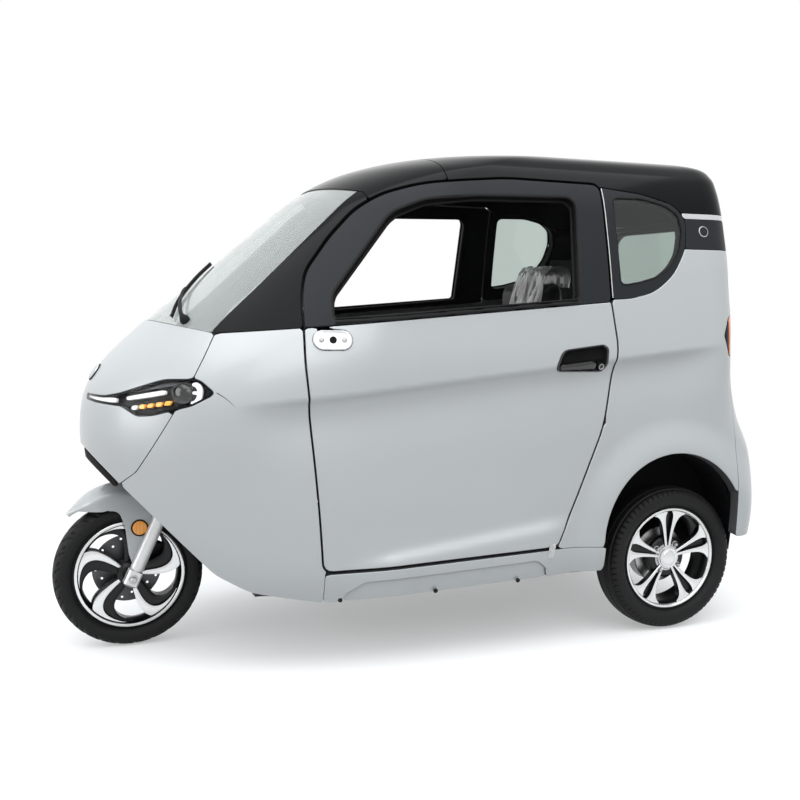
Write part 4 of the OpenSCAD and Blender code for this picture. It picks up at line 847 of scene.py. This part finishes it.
# Front fork, fender and reflectors
RAKE = math.radians(25)
STEER = np.array([1724 - 35 * math.cos(RAKE), 0, 233.5 - 35 * math.sin(RAKE)])
def steer(p):
    p = np.asarray(p, float).reshape(-1, 3)
    return STEER + np.stack([p[:, 0] * math.cos(RAKE) - p[:, 2] * math.sin(RAKE), p[:, 1],
                             p[:, 0] * math.sin(RAKE) + p[:, 2] * math.cos(RAKE)], 1)
AXIS = np.array([-math.sin(RAKE), 0, math.cos(RAKE)])

def stick(heap, base, rows, m=0, n=32):
    """Turned form along the steering axis: rows are radius and height above a base given in the fork's frame."""
    heap.add(*turned(rows, steer([base])[0], AXIS, n), m)

def block(heap, lo, hi, bevel=4.0, m=0):
    """Box with eased edges in the fork's frame."""
    lo, hi = np.asarray(lo, float), np.asarray(hi, float)
    rows = []
    for z, k in ((lo[2], bevel), (lo[2] + bevel, 0), (hi[2] - bevel, 0), (hi[2], bevel)):
        x0, x1, y0, y1, b = lo[0] + k, hi[0] - k, lo[1] + k, hi[1] - k, bevel
        rows.append([(x0 + b, y0, z), (x1 - b, y0, z), (x1, y0 + b, z), (x1, y1 - b, z), (x1 - b, y1, z),
                     (x0 + b, y1, z),
                     (x0, y1 - b, z), (x0, y0 + b, z)])
    r = np.array(rows)
    v, f = sweep_grid(r, True, True)
    heap.add(steer(v), [q[::-1] for q in f], m)

fork = Heap()
for sg in (1, -1):
    base = (35, sg * 95, 0)
    stick(fork, base, [(0.01, 24), (17, 24), (20, 27), (21.5, 34), (21.5, 196), (23, 199), (23, 209), (21, 213),
                       (16.4, 214), (16.4, 222)], 0)
    stick(fork, base, [(18.5, 213.5), (18.5, 219), (16.3, 221)], 3)
    stick(fork, base, [(16, 214), (16, 496), (13, 498), (0.01, 498)], 2)
    block(fork, (35 - 22, sg * 95 - 20, -26), (35 + 22, sg * 95 + 20, 30), 5.0, 0)
    at = steer([(35, sg * 115, 0)])[0]
    bolt(fork, at, (0, sg, 0), 10.5, 11, 2)
    at = steer([(35, sg * 62, 0)])[0]
    fork.add(*turned([(13, 0), (15, 2), (15, 12), (18, 15), (18, 20)], at, (0, sg, 0), 28), 2)
for z in (304, 474):
    for sg in (1, -1):
        stick(fork, (35, sg * 95, 0), [(16, z), (22, z), (24, z + 2), (24, z + 20), (22, z + 22), (16, z + 22)], 1)
    block(fork, (12, -95, z + 1), (50, 95, z + 21), 4.0, 1)
    stick(fork, (0, 0, 0), [(0.01, z), (27, z), (29, z + 2), (29, z + 20), (27, z + 22), (0.01, z + 22)], 1)
stick(fork, (0, 0, 0), [(17, 304), (17, 835)], 1)
fork.add(*tube(steer([(35, -95, 0), (35, 0, 0), (35, 95, 0)]), 8, 20), 2)
block(fork, (-66, -95, 58), (2, -66, 114), 5.0, 1)
block(fork, (-66, -52, 58), (2, -43, 114), 3.0, 1)
block(fork, (-66, -70, 96), (-40, -48, 114), 2.0, 1)
block(fork, (2, -98, 76), (28, -84, 104), 3.0, 1)
fork.piece("fork_legs", "steering", [ALLOY, STEEL, BARE, RUBBER], ("fork",))

fender = Heap()
ta = np.radians(np.concatenate([np.linspace(47, 62, 14), np.linspace(64, 136, 44)]))
ku = np.linspace(-1, 1, 25)
rows_out, rows_in = [], []
for t in ta:
    grow = float(ease(np.array((math.degrees(t) - 46) / 22)))
    wide = 5 + 63 * grow ** 0.7
    base = 266 + 8 * float(ease(np.array((math.degrees(t) - 55) / 30)))
    crown = 10 + 12 * grow
    low = min(base - 3, max(212 / math.sin(t), 226))
    out, inn = [], []
    for k in ku:
        e = abs(k)
        if e < 0.72:
            q = e / 0.72
            r, y = base + crown * (1 - q ** 2.4), wide * (q * 1.02 if q < 0.9 else 0.918 + 0.082 * math.sin((q - 0.9) / 0.1 * math.pi / 2))
        else:
            q = (e - 0.72) / 0.28
            r, y = base + (low - base) * q, wide
        y = math.copysign(y, k)
        out.append((r * math.cos(t), y, r * math.sin(t)))
        inn.append(((r - 3.5 * (e < 0.9)) * math.cos(t), y * (1 - 3.2 / max(wide, 12)),
                    (r - 3.5 * (e < 0.9)) * math.sin(t)))
    rows_out.append(out)
    rows_in.append(inn[::-1])
ring = np.concatenate([np.array(rows_out), np.array(rows_in)], 1) + FRONT
fender.add(*sweep_grid(ring, True, True), 0)
PLATE = rounded([[90, 232, 4], [66, 213, 14], [34, 210, 26], [16, 160, 40], [6, 70, 20], [-6, 34, 16], [-36, 36, 16],
                 [-92, 176, 20],
                 [-150, 205, 30], [-190, 196, 10], [-140, 236, 40], [-20, 250, 100]], 6)
for sg in (1, -1):
    y0, y1 = sorted((sg * 63.0, sg * 67.5))
    slab(fender, PLATE, y0, y1, (FRONT[0], FRONT[2]), 1.2, 0)
    at = FRONT + np.array([-21, sg * 67.3, 59])
    bolt(fender, at, (0, sg, 0), 6.5, 6.5, 1, False)
fender.piece("front_fender_shell", "steering", [SILVER, BARE], ("front_fender",))

for sg, side in ((1, "left"), (-1, "right")):
    lens = Heap()
    at = FRONT + np.array([-28, sg * 67.4, 154])
    lens.add(*turned([(27, 0), (27, 3.2), (25.8, 4.6), (23.5, 4.8), (22.4, 3.6)], at, (0, sg, 0), 48), 1)
    lens.add(*turned([(22.6, 3.2), (21.5, 5.0), (15, 5.8), (8, 6.0), (0.01, 6.0)], at, (0, sg, 0), 48), 0)
    for k in range(-5, 6):
        h = math.sqrt(max(0, 20.5 ** 2 - (k * 3.6) ** 2))
        lens.add(*tube(local([(k * 3.6, -h, 5.6), (k * 3.6, 0, 5.9), (k * 3.6, h, 5.6)], at, (0, sg, 0)), 0.55, 6),
                 2 if k % 3 == 0 else 0)
    lens.piece(f"reflector_{side}", "steering", [AMBER_PAINTED_GLOW, RUBBER, ORANGE], ("fender_reflectors",) if sg > 0 else ())

# Headlamps: cover, border, housing and lights
NEAR_LAMP = Skin(46, 300, 3, 3, 2, 4.2, 6.2)
def bar(rows, n=24):
    """Outline of a bar along rows of across, height and half thickness."""
    p = smooth_line(rows, n)
    d = np.gradient(p[:, :2], axis=0)
    nn = np.stack([-d[:, 1], d[:, 0]], 1) / np.linalg.norm(d, axis=1, keepdims=True)
    return np.concatenate([p[:, :2] + nn * p[:, 2:], (p[:, :2] - nn * p[:, 2:])[::-1]])
def lamp_part(name, mat, field, gap=0, r=1.5, depth=8, inset=8, **more):
    panel(f"headlamp_{name}", "chassis", [mat], field, gap, r, depth, inset, skin=NEAR_LAMP, **more)

inner = grown(lamp_f, -7.0)
lamp_part("cover", LENS, lamp_f, 0.6, 1.0, 3.0, 0.6, stands_for=("headlamps",))
lamp_part("border", BLACK, without(lamp_f, inner), 0.5, 0.6, 30, 4.2, lining=False)
lamp_part("housing", LAMP_BLACK, lamp_f, 0.5, 1.0, 6, 24)
BROW = bar([(-1000, 826, 1), (-930, 845, 7), (-850, 862, 9), (-790, 868, 5), (-770, 868, 1)])
lamp_part("bezel", LAMP_GREY, both(lamp_shape(BROW), inner), r=1.0, inset=14)
INNER_BAR = bar([(-1192, 806, 6), (-1100, 806.5, 7), (-1030, 809, 7), (-1020, 810, 6)])
lamp_part("led_inner", WHITE_LENS_PAINTED_GLOW, both(lamp_shape(INNER_BAR), grown(lamp_f, -3.0)))
OUTER_BAR = bar([(-978, 816, 4), (-966, 819, 5.5), (-900, 830, 6.5), (-850, 839, 6), (-840, 841, 4)])
lamp_part("led_outer", WHITE_LENS_PAINTED_GLOW, both(lamp_shape(OUTER_BAR), inner), r=1.8, depth=10)
for k in range(5):
    u, h = -958 + 29 * k, 790 + 4.4 * k
    chip = rounded([[u, h - 6, 2], [u + 20, h - 4.5, 2], [u + 26, h + 9, 2], [u + 6, h + 7, 2]], 3)
    lamp_part(f"chip_{k + 1}", AMBER_CHIP_PAINTED_GLOW if k else WHITE_LENS_PAINTED_GLOW, both(lamp_shape(chip), inner), r=1.6, inset=9)
TRAY = bar([(-950, 779, 3), (-900, 779, 5), (-830, 790, 6), (-790, 800, 4)])
lamp_part("tray", LAMP_BLACK, both(lamp_shape(TRAY), inner), inset=12)
HOOK = bar([(-760, 864, 4), (-747, 864, 7), (-736, 853, 8), (-733, 838, 7.5), (-736, 822, 8), (-746, 812, 7),
            (-757, 814, 3)], 40)
TICK = bar([(-756, 841, 4), (-746, 841, 5), (-736, 840, 5)])
hook_f, tick_f = lamp_shape(HOOK), lamp_shape(TICK)
lamp_part("hook", WHITE_LENS_PAINTED_GLOW, lambda x, y, z: np.minimum(hook_f(x, y, z), tick_f(x, y, z)), inset=7)
ball = Heap()
for sg in (1, -1):
    at = np.array([1614, sg * 398.0, 834])
    n = np.array([math.cos(math.radians(52)), sg * math.sin(math.radians(52)), 0.05])
    at = at - n * 14
    ball.add(*turned([(38, -8), (38, 0), (36.5, 2), (34, 2.2)], at, n, 48), 1)
    ball.add(*turned([(34 * math.cos(a), 1 + 15 * math.sin(a)) for a in np.linspace(0, math.pi / 2 - 0.001, 10)], at,
                     n, 48), 0)
ball.piece("headlamp_lens", "chassis", [PROJECTOR, LAMP_GREY])

# Black lip under the nose
APRON = [(NOSE_CORNER[0], NOSE_CORNER[1] - 2), (NOSE_LIP[0] + 20, NOSE_LIP[1] + 20), (NOSE_LIP[0] + 28, NOSE_LIP[1]),
         (NOSE_CORNER[0] + 9, NOSE_CORNER[1] - 16)]
panel("nose_apron", "chassis", [LINER], both(on_side(APRON), lambda x, y, z: np.abs(y) - 420), gap=0, r=1.5, depth=4,
      inset=9)

# Tail lamps
def lo_f(a, b):
    """Field between two stations."""
    return lambda x, y, z: np.maximum(a - x, x - b)
panel("tail_lamp_wedge", "chassis", [BLACK, DARK], both(tail_lamp_f, lo_f(AMBER_FROM, 0)), gap=0.5, r=1.6, depth=20,
      inset=0.5, stands_for=("tail_lamps",))
panel("tail_lamp_amber", "chassis", [ORANGE, DARK], both(tail_lamp_f, lo_f(RED_FROM, AMBER_FROM)), gap=0.5, r=2.5,
      depth=20, inset=-1.5)
panel("tail_lamp_red", "chassis", [RED, DARK], both(tail_lamp_f, lo_f(-400, RED_FROM)), gap=0.5, r=2.5, depth=20,
      inset=-1.5)

# Mirror plates, handles and the small things on the sides, with a painted highlight line along the door's rear seam
ang = np.linspace(0, 2 * math.pi, 72, endpoint=False)
OVAL = np.stack([MIRROR[0] + 28 * np.sign(np.cos(ang)) * (np.abs(np.cos(ang)) > 1e-6) + 28 * np.cos(ang),
                 MIRROR[1] + 28 * np.sin(ang)], 1)
for side, half, sg in SIDES:
    body = f"door_{side}_body"
    plate = Heap()
    dish(plate, OVAL, [(1.0, -3.6), (1.0, 2.8), (0.985, 4.0), (0.96, 4.6), (0.90, 4.7), (0.86, 4.2), (0.5, 4.2),
                       (0.02, 4.2)], sg, 0)
    for x in (MIRROR[0] - 32.5, MIRROR[0] + 32.5):
        stud(plate, [(7.4, 0), (7.4, 1.6), (6.2, 3.0), (3.4, 3.8), (2.6, 3.8), (2.2, 2.0), (0.01, 2.0)], x,
             MIRROR[1], 4.0, sg, 20, 1)
    stud(plate, [(10.5, 0), (10.5, 1.2), (9, 1.8), (7.6, 1.2), (7.4, 0.4), (0.01, 0.4)], *MIRROR[:2], 4.0, sg, 28, 2)
    plate.piece(f"mirror_plate_{side}_oval", body, [PLATE_SILVER, BARE, LINER], (f"mirror_plate_{side}",))
    grip = Heap()
    dish(grip, HANDLE, [(1.0, -3.0), (1.0, 1.6), (0.985, 3.0), (0.955, 3.2), (0.93, 1.4), (0.91, -6), (0.86, -17),
                        (0.74, -21),
                        (0.4, -22), (0.02, -22)], sg, [0, 0, 0, 0, 0, 1, 1, 1, 1])
    PULL = rounded([[462, 911, 8], [352, 922, 9], [330, 915, 8], [328, 897, 7], [464, 895, 8]], 6)
    dish(grip, PULL, [(1.0, -19), (1.0, 0.5), (0.97, 3.2), (0.9, 4.4), (0.6, 5.2), (0.02, 5.4)], sg, 0)
    at = on_skin(308, 904, -6.0, sg)
    nrm = on_skin(308, 904, 5.0, sg) - at
    v, f = turned([(11, -12), (11, 7), (9.8, 8.6), (8.2, 8.8), (7.4, 7.6), (0.01, 7.4)], at, nrm, 28)
    grip.add(v, f, [2 if i % 5 in (2, 3) else 0 for i in range(len(f))])
    grip.add(*tube(local([(0, -4, 7.6), (0, 0, 7.7), (0, 4, 7.6)], at, nrm), 0.9, 6), 1)
    grip.piece(f"door_handle_{side}_cup", body, [HANDLE_BLACK, LINER, BARE], (f"door_handle_{side}",))
    seal = Heap()
    line = smooth_line([(1186, 1050), (1000, 1062), (800, 1079), (600, 1095), (384, 1112)], 60)
    for off, drop, r in ((1.0, 4, 4.2), (0.0, -6, 2.2)):
        seal.add(*tube(on_skin(line[:, 0], line[:, 1] - drop, off, sg), r, 10), 0)
    o = np.vstack([WINDOW, WINDOW[:1]])
    seal.add(*tube(on_skin(o[:, 0], o[:, 1], -4.0, sg), 4.6, 10), 0)
    seal.add(*tube(on_skin(o[:, 0], o[:, 1], -WALL + 5, sg), 6.0, 10), 0)
    seal.piece(f"window_seal_{side}", body, [RUBBER])
    o = np.vstack([PANE, PANE[:1]])
    v, f = tube(on_skin(o[:, 0], o[:, 1], -1.5, sg), 3.6, 10)
    ring = Heap()
    ring.add(v, f, 0)
    ring.piece(f"quarter_seal_{side}", "chassis", [RUBBER])
    small = Heap()
    for x, z in ((1176, 219), (880, 226), (600, 233)):
        stud(small, [(7, -2), (7, 1.5), (5, 2.6), (0.01, 2.8)], x, z, 0.0, sg, 16, 0)
    at = on_skin(-119, 1348, 0.0, sg)
    v, f = turned([(19, -2), (19, 1.6), (17.8, 2.6), (15.6, 2.6), (14.8, 1.8), (8, 2.2), (0.01, 2.4)], at,
                  on_skin(-119, 1348, 2.0, sg) - at, 40)
    small.add(v, f, [2 if i % 6 < 3 else 1 for i in range(len(f))])
    line = smooth_line([(1522, 843), (1498, 826), (1476, 804)], 16)
    small.add(*tube(on_skin(line[:, 0], line[:, 1], -0.5, sg), np.linspace(1.4, 0.6, 16), 8), 0)
    # Painted highlight: a thin white line along the door's rear seam stands in for light caught on the edge
    z = np.linspace(1124, 1478, 40)
    small.add(*tube(on_skin(256.8 + (z - 1118) / 91, z, 0.1, sg), 1.4, 8), 3)
    small.piece(f"side_clips_and_painted_seam_highlight_{side}", "chassis", [RUBBER, FRAME, BARE, TAPE_AND_PAINTED_HIGHLIGHT])
scrap = Heap()
u, w = np.meshgrid(np.linspace(0, 1, 9), np.linspace(0, 1, 13), indexing="ij")
x, z = 505 - 22 * u - 6 * w, 300 + 44 * w
off = 1.2 + 2.2 * np.abs(np.sin(7 * w + 3 * u)) * w + 6 * np.maximum(u - 0.7, 0)
face = on_skin(x, z, off)
back = on_skin(x, z, off - 0.8)[:, ::-1]
scrap.add(*sweep_grid(np.concatenate([face, back], 1), True, True), 0)
scrap.piece("tape_scrap", "chassis", [TAPE_AND_PAINTED_HIGHLIGHT])
badge = Heap()
at, nrm = front_point(0, 880)
badge.add(*turned([(30, -3), (30, 2.0), (29, 3.0), (27.5, 3.0)], at, nrm, 48), 1)
badge.add(*turned([(27.5, 2.6), (27, 5.0), (25.5, 6.2), (18, 8.2), (9, 9.4), (0.01, 9.8)], at, nrm, 48), 0)
badge.piece("nose_badge_blank", "chassis", [PLATE_SILVER, RUBBER])

# Wiper
wipe = Heap()
base, nrm = front_point(250, 1047)
wipe.add(*turned([(15, -4), (15, 6), (12, 12), (9, 18), (0.01, 20)], base, nrm, 24), 0)
arm = [front_point(y, z, o)[0] for y, z, o in ((250, 1047, 14), (225, 1060, 18), (160, 1092, 17), (95, 1122, 15),
                                               (65, 1136, 12))]
wipe.add(*tube(smooth_line(arm, 30), np.linspace(7.5, 3.6, 30), 10), 0)
edge = [front_point(y, z, 3.0)[0] for y, z in ((190, 1052), (127, 1094), (65, 1136), (2, 1178), (-60, 1220))]
spine = [front_point(y, z, 9.0)[0] for y, z in ((190, 1052), (127, 1094), (65, 1136), (2, 1178), (-60, 1220))]
wipe.add(*tube(smooth_line(edge, 40), 2.6, 8), 0)
wipe.add(*tube(smooth_line(spine, 40), 4.0, 8), 1)
for k in (0.12, 0.35, 0.65, 0.88):
    p, q = smooth_line(edge, 41)[int(40 * k)], smooth_line(spine, 41)[int(40 * k)]
    wipe.add(*tube([p, (p + q) / 2, q], 4.2, 8), 1)
wipe.piece("wiper_arm", "chassis", [DARK, RUBBER], ("wiper",))

# Seats: swollen by cloth simulation
def cushion(name, outline, half, low, body, inset=14.0, voxel=0.014):
    """Closed pad over a side outline, a little smaller than the solid."""
    o = rounded(outline, 5)
    c = (o.max(0) + o.min(0)) / 2
    d = o - c
    o = c + d * (1 - inset / np.maximum(np.abs(d).max(0), 1))
    h = Heap()
    ys = np.linspace(-half + inset, half - inset, 9)
    stack = np.array([np.stack([o[:, 0], np.full(len(o), y), o[:, 1] + low], 1) for y in ys])
    h.add(*sweep_grid(stack, True, True), 0)
    ob = h.piece(name, body, [SEAT])
    md = ob.modifiers.new("fill", "REMESH")
    md.mode, md.voxel_size, md.use_smooth_shade = "VOXEL", voxel, True
    apply_modifiers(ob)
    start = points_of(ob)
    cl = ob.modifiers.new("swell", "CLOTH")
    s = cl.settings
    s.use_pressure, s.uniform_pressure_force = True, 4.0
    s.effector_weights.gravity = 0
    s.tension_stiffness = s.compression_stiffness = 12
    s.quality = 4
    for k in range(1, 15):
        scene.frame_set(k)
    apply_modifiers(ob)
    scene.frame_set(1)
    end = points_of(ob)
    move = end - start
    far = np.linalg.norm(move, axis=1, keepdims=True)
    move *= np.minimum(1, 0.022 / np.maximum(far, 1e-9))
    ob.data.vertices.foreach_set("co", (start + move).ravel())
    ob.data.update()
    sub = ob.modifiers.new("soft", "SUBSURF")
    sub.levels = sub.render_levels = 1
    apply_modifiers(ob)
    ob.data.polygons.foreach_set("use_smooth", np.ones(len(ob.data.polygons), bool))
    return ob

def points_of(ob):
    p = np.empty(len(ob.data.vertices) * 3)
    ob.data.vertices.foreach_get("co", p)
    return p.reshape(-1, 3)

def apply_modifiers(ob):
    dg = bpy.context.evaluated_depsgraph_get()
    me = bpy.data.meshes.new_from_object(ob.evaluated_get(dg), depsgraph=dg)
    ob.modifiers.clear()
    old = ob.data
    ob.data = me
    bpy.data.meshes.remove(old)

PADS = [("driver_cushion", "driver_seat", [[400, 0, 20], [860, 0, 30], [868, 90, 40], [400, 85, 30]], 205, 470),
        ("driver_back", None, [[334, 0, 15], [398, 0, 15], [398, 170, 60], [305, 740, 35], [232, 740, 35]], 200, 470),
        ("bench_cushion", "rear_bench", [[-178, 0, 15], [170, 0, 25], [176, 90, 35], [-178, 85, 25]], 335, 540),
        ("bench_back", None, [[-262, 0, 12], [-182, 0, 12], [-166, 420, 30], [-230, 420, 25]], 335, 540)]
for name, node_name, outline, half, low in PADS:
    pad = cushion(name, outline, half, low, "chassis")
    if node_name:
        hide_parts(node_name)

# Crinkled film left over the top of the driver's back
def crumple(i, j, seed, rows, cols, amount):
    """Uneven facets: random heights on a coarse net, joined by straight lines; i and j run from 0 to 1."""
    net = np.random.RandomState(seed).rand(rows + 2, cols + 2) * amount
    a, b = i * rows, j * cols
    k, l = np.floor(a).astype(int), np.floor(b).astype(int)
    u, w = a - k, b - l
    return (net[k, l] * (1 - u) + net[k + 1, l] * u) * (1 - w) + (net[k, l + 1] * (1 - u) + net[k + 1, l + 1] * u) * w

film = Heap()
run = smooth_line([(352, 1040), (332, 1110), (310, 1190), (292, 1216), (262, 1222), (238, 1206), (238, 1160)], 56)
i, j = np.meshgrid(np.linspace(0, 1, 56), np.linspace(0, 1, 72), indexing="ij")
ahead = np.gradient(run, axis=0)
out = np.stack([ahead[:, 1], -ahead[:, 0]], 1) / np.linalg.norm(ahead, axis=1, keepdims=True)
lift = 2 + crumple(i, j, 3, 7, 7, 11) + crumple(i, j, 8, 19, 21, 5) + crumple(i, j, 5, 4, 4, 6)
side = -55 + 222 * j + crumple(i, j, 11, 9, 9, 14)
face = np.stack([run[:, :1] + out[:, :1] * lift, side, run[:, 1:] + out[:, 1:] * lift], 2)
back = (face - np.stack([out[:, :1] + 0 * j, 0 * j, out[:, 1:] + 0 * j], 2) * 0.6)[:, ::-1]
film.add(*sweep_grid(np.concatenate([face, back], 1), True, True), 0)
film.piece("seat_film", "chassis", [FILM], angle=25)

# stage, light and camera
def rays(nt):
    """One for what the camera sees, straight, through glass or in a reflection, and zero for the diffuse light."""
    path = nt.nodes.new("ShaderNodeLightPath")
    seen = path.outputs["Is Camera Ray"]
    for other in ("Is Glossy Ray", "Is Transmission Ray"):
        a = nt.nodes.new("ShaderNodeMath")
        a.operation = "MAXIMUM"
        nt.links.new(seen, a.inputs[0])
        nt.links.new(path.outputs[other], a.inputs[1])
        seen = a.outputs[0]
    return seen

def stage_floor():
    """Pale floor that runs out to white with distance from the object, and is darker to the diffuse light."""
    me = bpy.data.meshes.new("floor")
    s = 60.0
    me.from_pydata([(-s, -s, 0), (s, -s, 0), (s, s, 0), (-s, s, 0)], [], [(0, 1, 2, 3)])
    m, nt, p, ln = node_group("floor")
    p.inputs["Base Color"].default_value = (0.94, 0.94, 0.94, 1)
    p.inputs["Roughness"].default_value = 0.9
    p.inputs["Specular IOR Level"].default_value = 0.0
    far = nt.nodes.new("ShaderNodeEmission")
    low = nt.nodes.new("ShaderNodeBsdfDiffuse")
    low.inputs["Color"].default_value = (0.10, 0.10, 0.097, 1)
    dist = nt.nodes.new("ShaderNodeVectorMath")
    dist.operation = "LENGTH"
    ln.new(nt.nodes.new("ShaderNodeTexCoord").outputs["Object"], dist.inputs[0])
    reach = nt.nodes.new("ShaderNodeMapRange")
    reach.interpolation_type = "SMOOTHSTEP"
    ln.new(dist.outputs["Value"], reach.inputs["Value"])
    reach.inputs["From Min"].default_value = 1.2
    reach.inputs["From Max"].default_value = 3.0
    reach.inputs["To Min"].default_value = 0.35
    pale, whole = nt.nodes.new("ShaderNodeMixShader"), nt.nodes.new("ShaderNodeMixShader")
    ln.new(reach.outputs["Result"], pale.inputs[0])
    ln.new(p.outputs[0], pale.inputs[1])
    ln.new(far.outputs[0], pale.inputs[2])
    ln.new(rays(nt), whole.inputs[0])
    ln.new(low.outputs[0], whole.inputs[1])
    ln.new(pale.outputs[0], whole.inputs[2])
    ln.new(whole.outputs[0], nt.nodes["Material Output"].inputs["Surface"])
    me.materials.append(m)
    ob = bpy.data.objects.new("floor", me)
    scene.collection.objects.link(ob)

def lamp(name, at, aim, size, power, color=(1, 1, 1)):
    d = bpy.data.lights.new(name, "AREA")
    d.shape, d.size, d.size_y, d.energy, d.color = "RECTANGLE", size[0], size[1], power, color
    o = bpy.data.objects.new(name, d)
    o.location = at
    o.rotation_euler = (Vector(aim) - Vector(at)).to_track_quat("-Z", "Y").to_euler()
    scene.collection.objects.link(o)

def world():
    """White to the camera and in reflections; the diffuse light falls off from above to low on the camera's side."""
    w = bpy.data.worlds.new("studio")
    w.use_nodes = True
    nt = w.node_tree
    soft = nt.nodes["Background"]
    plain, mix = nt.nodes.new("ShaderNodeBackground"), nt.nodes.new("ShaderNodeMixShader")
    soft.inputs["Color"].default_value, plain.inputs["Color"].default_value = (0.92, 0.97, 1.0, 1), (1, 1, 1, 1)
    dot = nt.nodes.new("ShaderNodeVectorMath")
    dot.operation = "DOT_PRODUCT"
    nt.links.new(nt.nodes.new("ShaderNodeTexCoord").outputs["Generated"], dot.inputs[0])
    dot.inputs[1].default_value = (0.0, -0.35, 0.94)
    mr = nt.nodes.new("ShaderNodeMapRange")
    mr.interpolation_type = "SMOOTHSTEP"
    nt.links.new(dot.outputs["Value"], mr.inputs["Value"])
    for key, value in (("From Min", -0.48), ("From Max", 0.32), ("To Min", 0.06), ("To Max", 1.20)):
        mr.inputs[key].default_value = value
    nt.links.new(mr.outputs["Result"], soft.inputs["Strength"])
    nt.links.new(rays(nt), mix.inputs[0])
    nt.links.new(soft.outputs[0], mix.inputs[1])
    nt.links.new(plain.outputs[0], mix.inputs[2])
    nt.links.new(mix.outputs[0], nt.nodes["World Output"].inputs["Surface"])
    scene.world = w

stage_floor()
world()
lamp("top_key", (0.5, 1.8, 5.2), (0.0, 0.0, 0.6), (8.0, 5.5), 230)
lamp("side_fill", (1.5, 6.5, 4.2), (0.0, 0.0, 0.7), (6.0, 2.5), 85)
lamp("front_fill", (6.0, 0.6, 2.0), (0.9, 0.0, 0.8), (3.0, 3.0), 70)

# camera fitted to the photo: angles in degrees, place in m from the rear axle, focal length and centre in its pixels
YAW, PITCH, ROLL = 22.74, -5.67, 0.43
CAMERA_AT, FOCAL, CENTRE, PICTURE, SENSOR = (2.139, 3.622, 1.115), 1106.3, (445.3, 409.1), 800, 36.0

def photo_camera():
    yaw, pitch, roll = math.radians(YAW), math.radians(PITCH), math.radians(ROLL)
    fwd = Vector((-math.sin(yaw) * math.cos(pitch), -math.cos(yaw) * math.cos(pitch), math.sin(pitch)))
    rt = fwd.cross(Vector((0, 0, 1))).normalized()
    up = rt.cross(fwd)
    r2 = rt * math.cos(roll) + up * math.sin(roll)
    u2 = up * math.cos(roll) - rt * math.sin(roll)
    c = bpy.data.cameras.new("photo_camera")
    c.sensor_width, c.lens = SENSOR, SENSOR * FOCAL / PICTURE
    c.shift_x, c.shift_y = (PICTURE / 2 - CENTRE[0]) / PICTURE, (CENTRE[1] - PICTURE / 2) / PICTURE
    o = bpy.data.objects.new("photo_camera", c)
    o.matrix_world = Matrix.Translation(Vector(CAMERA_AT) + Vector(SHIFT) * 0.001) @ \
        Matrix((r2, u2, -fwd)).transposed().to_4x4()
    scene.collection.objects.link(o)
    scene.camera = o

photo_camera()
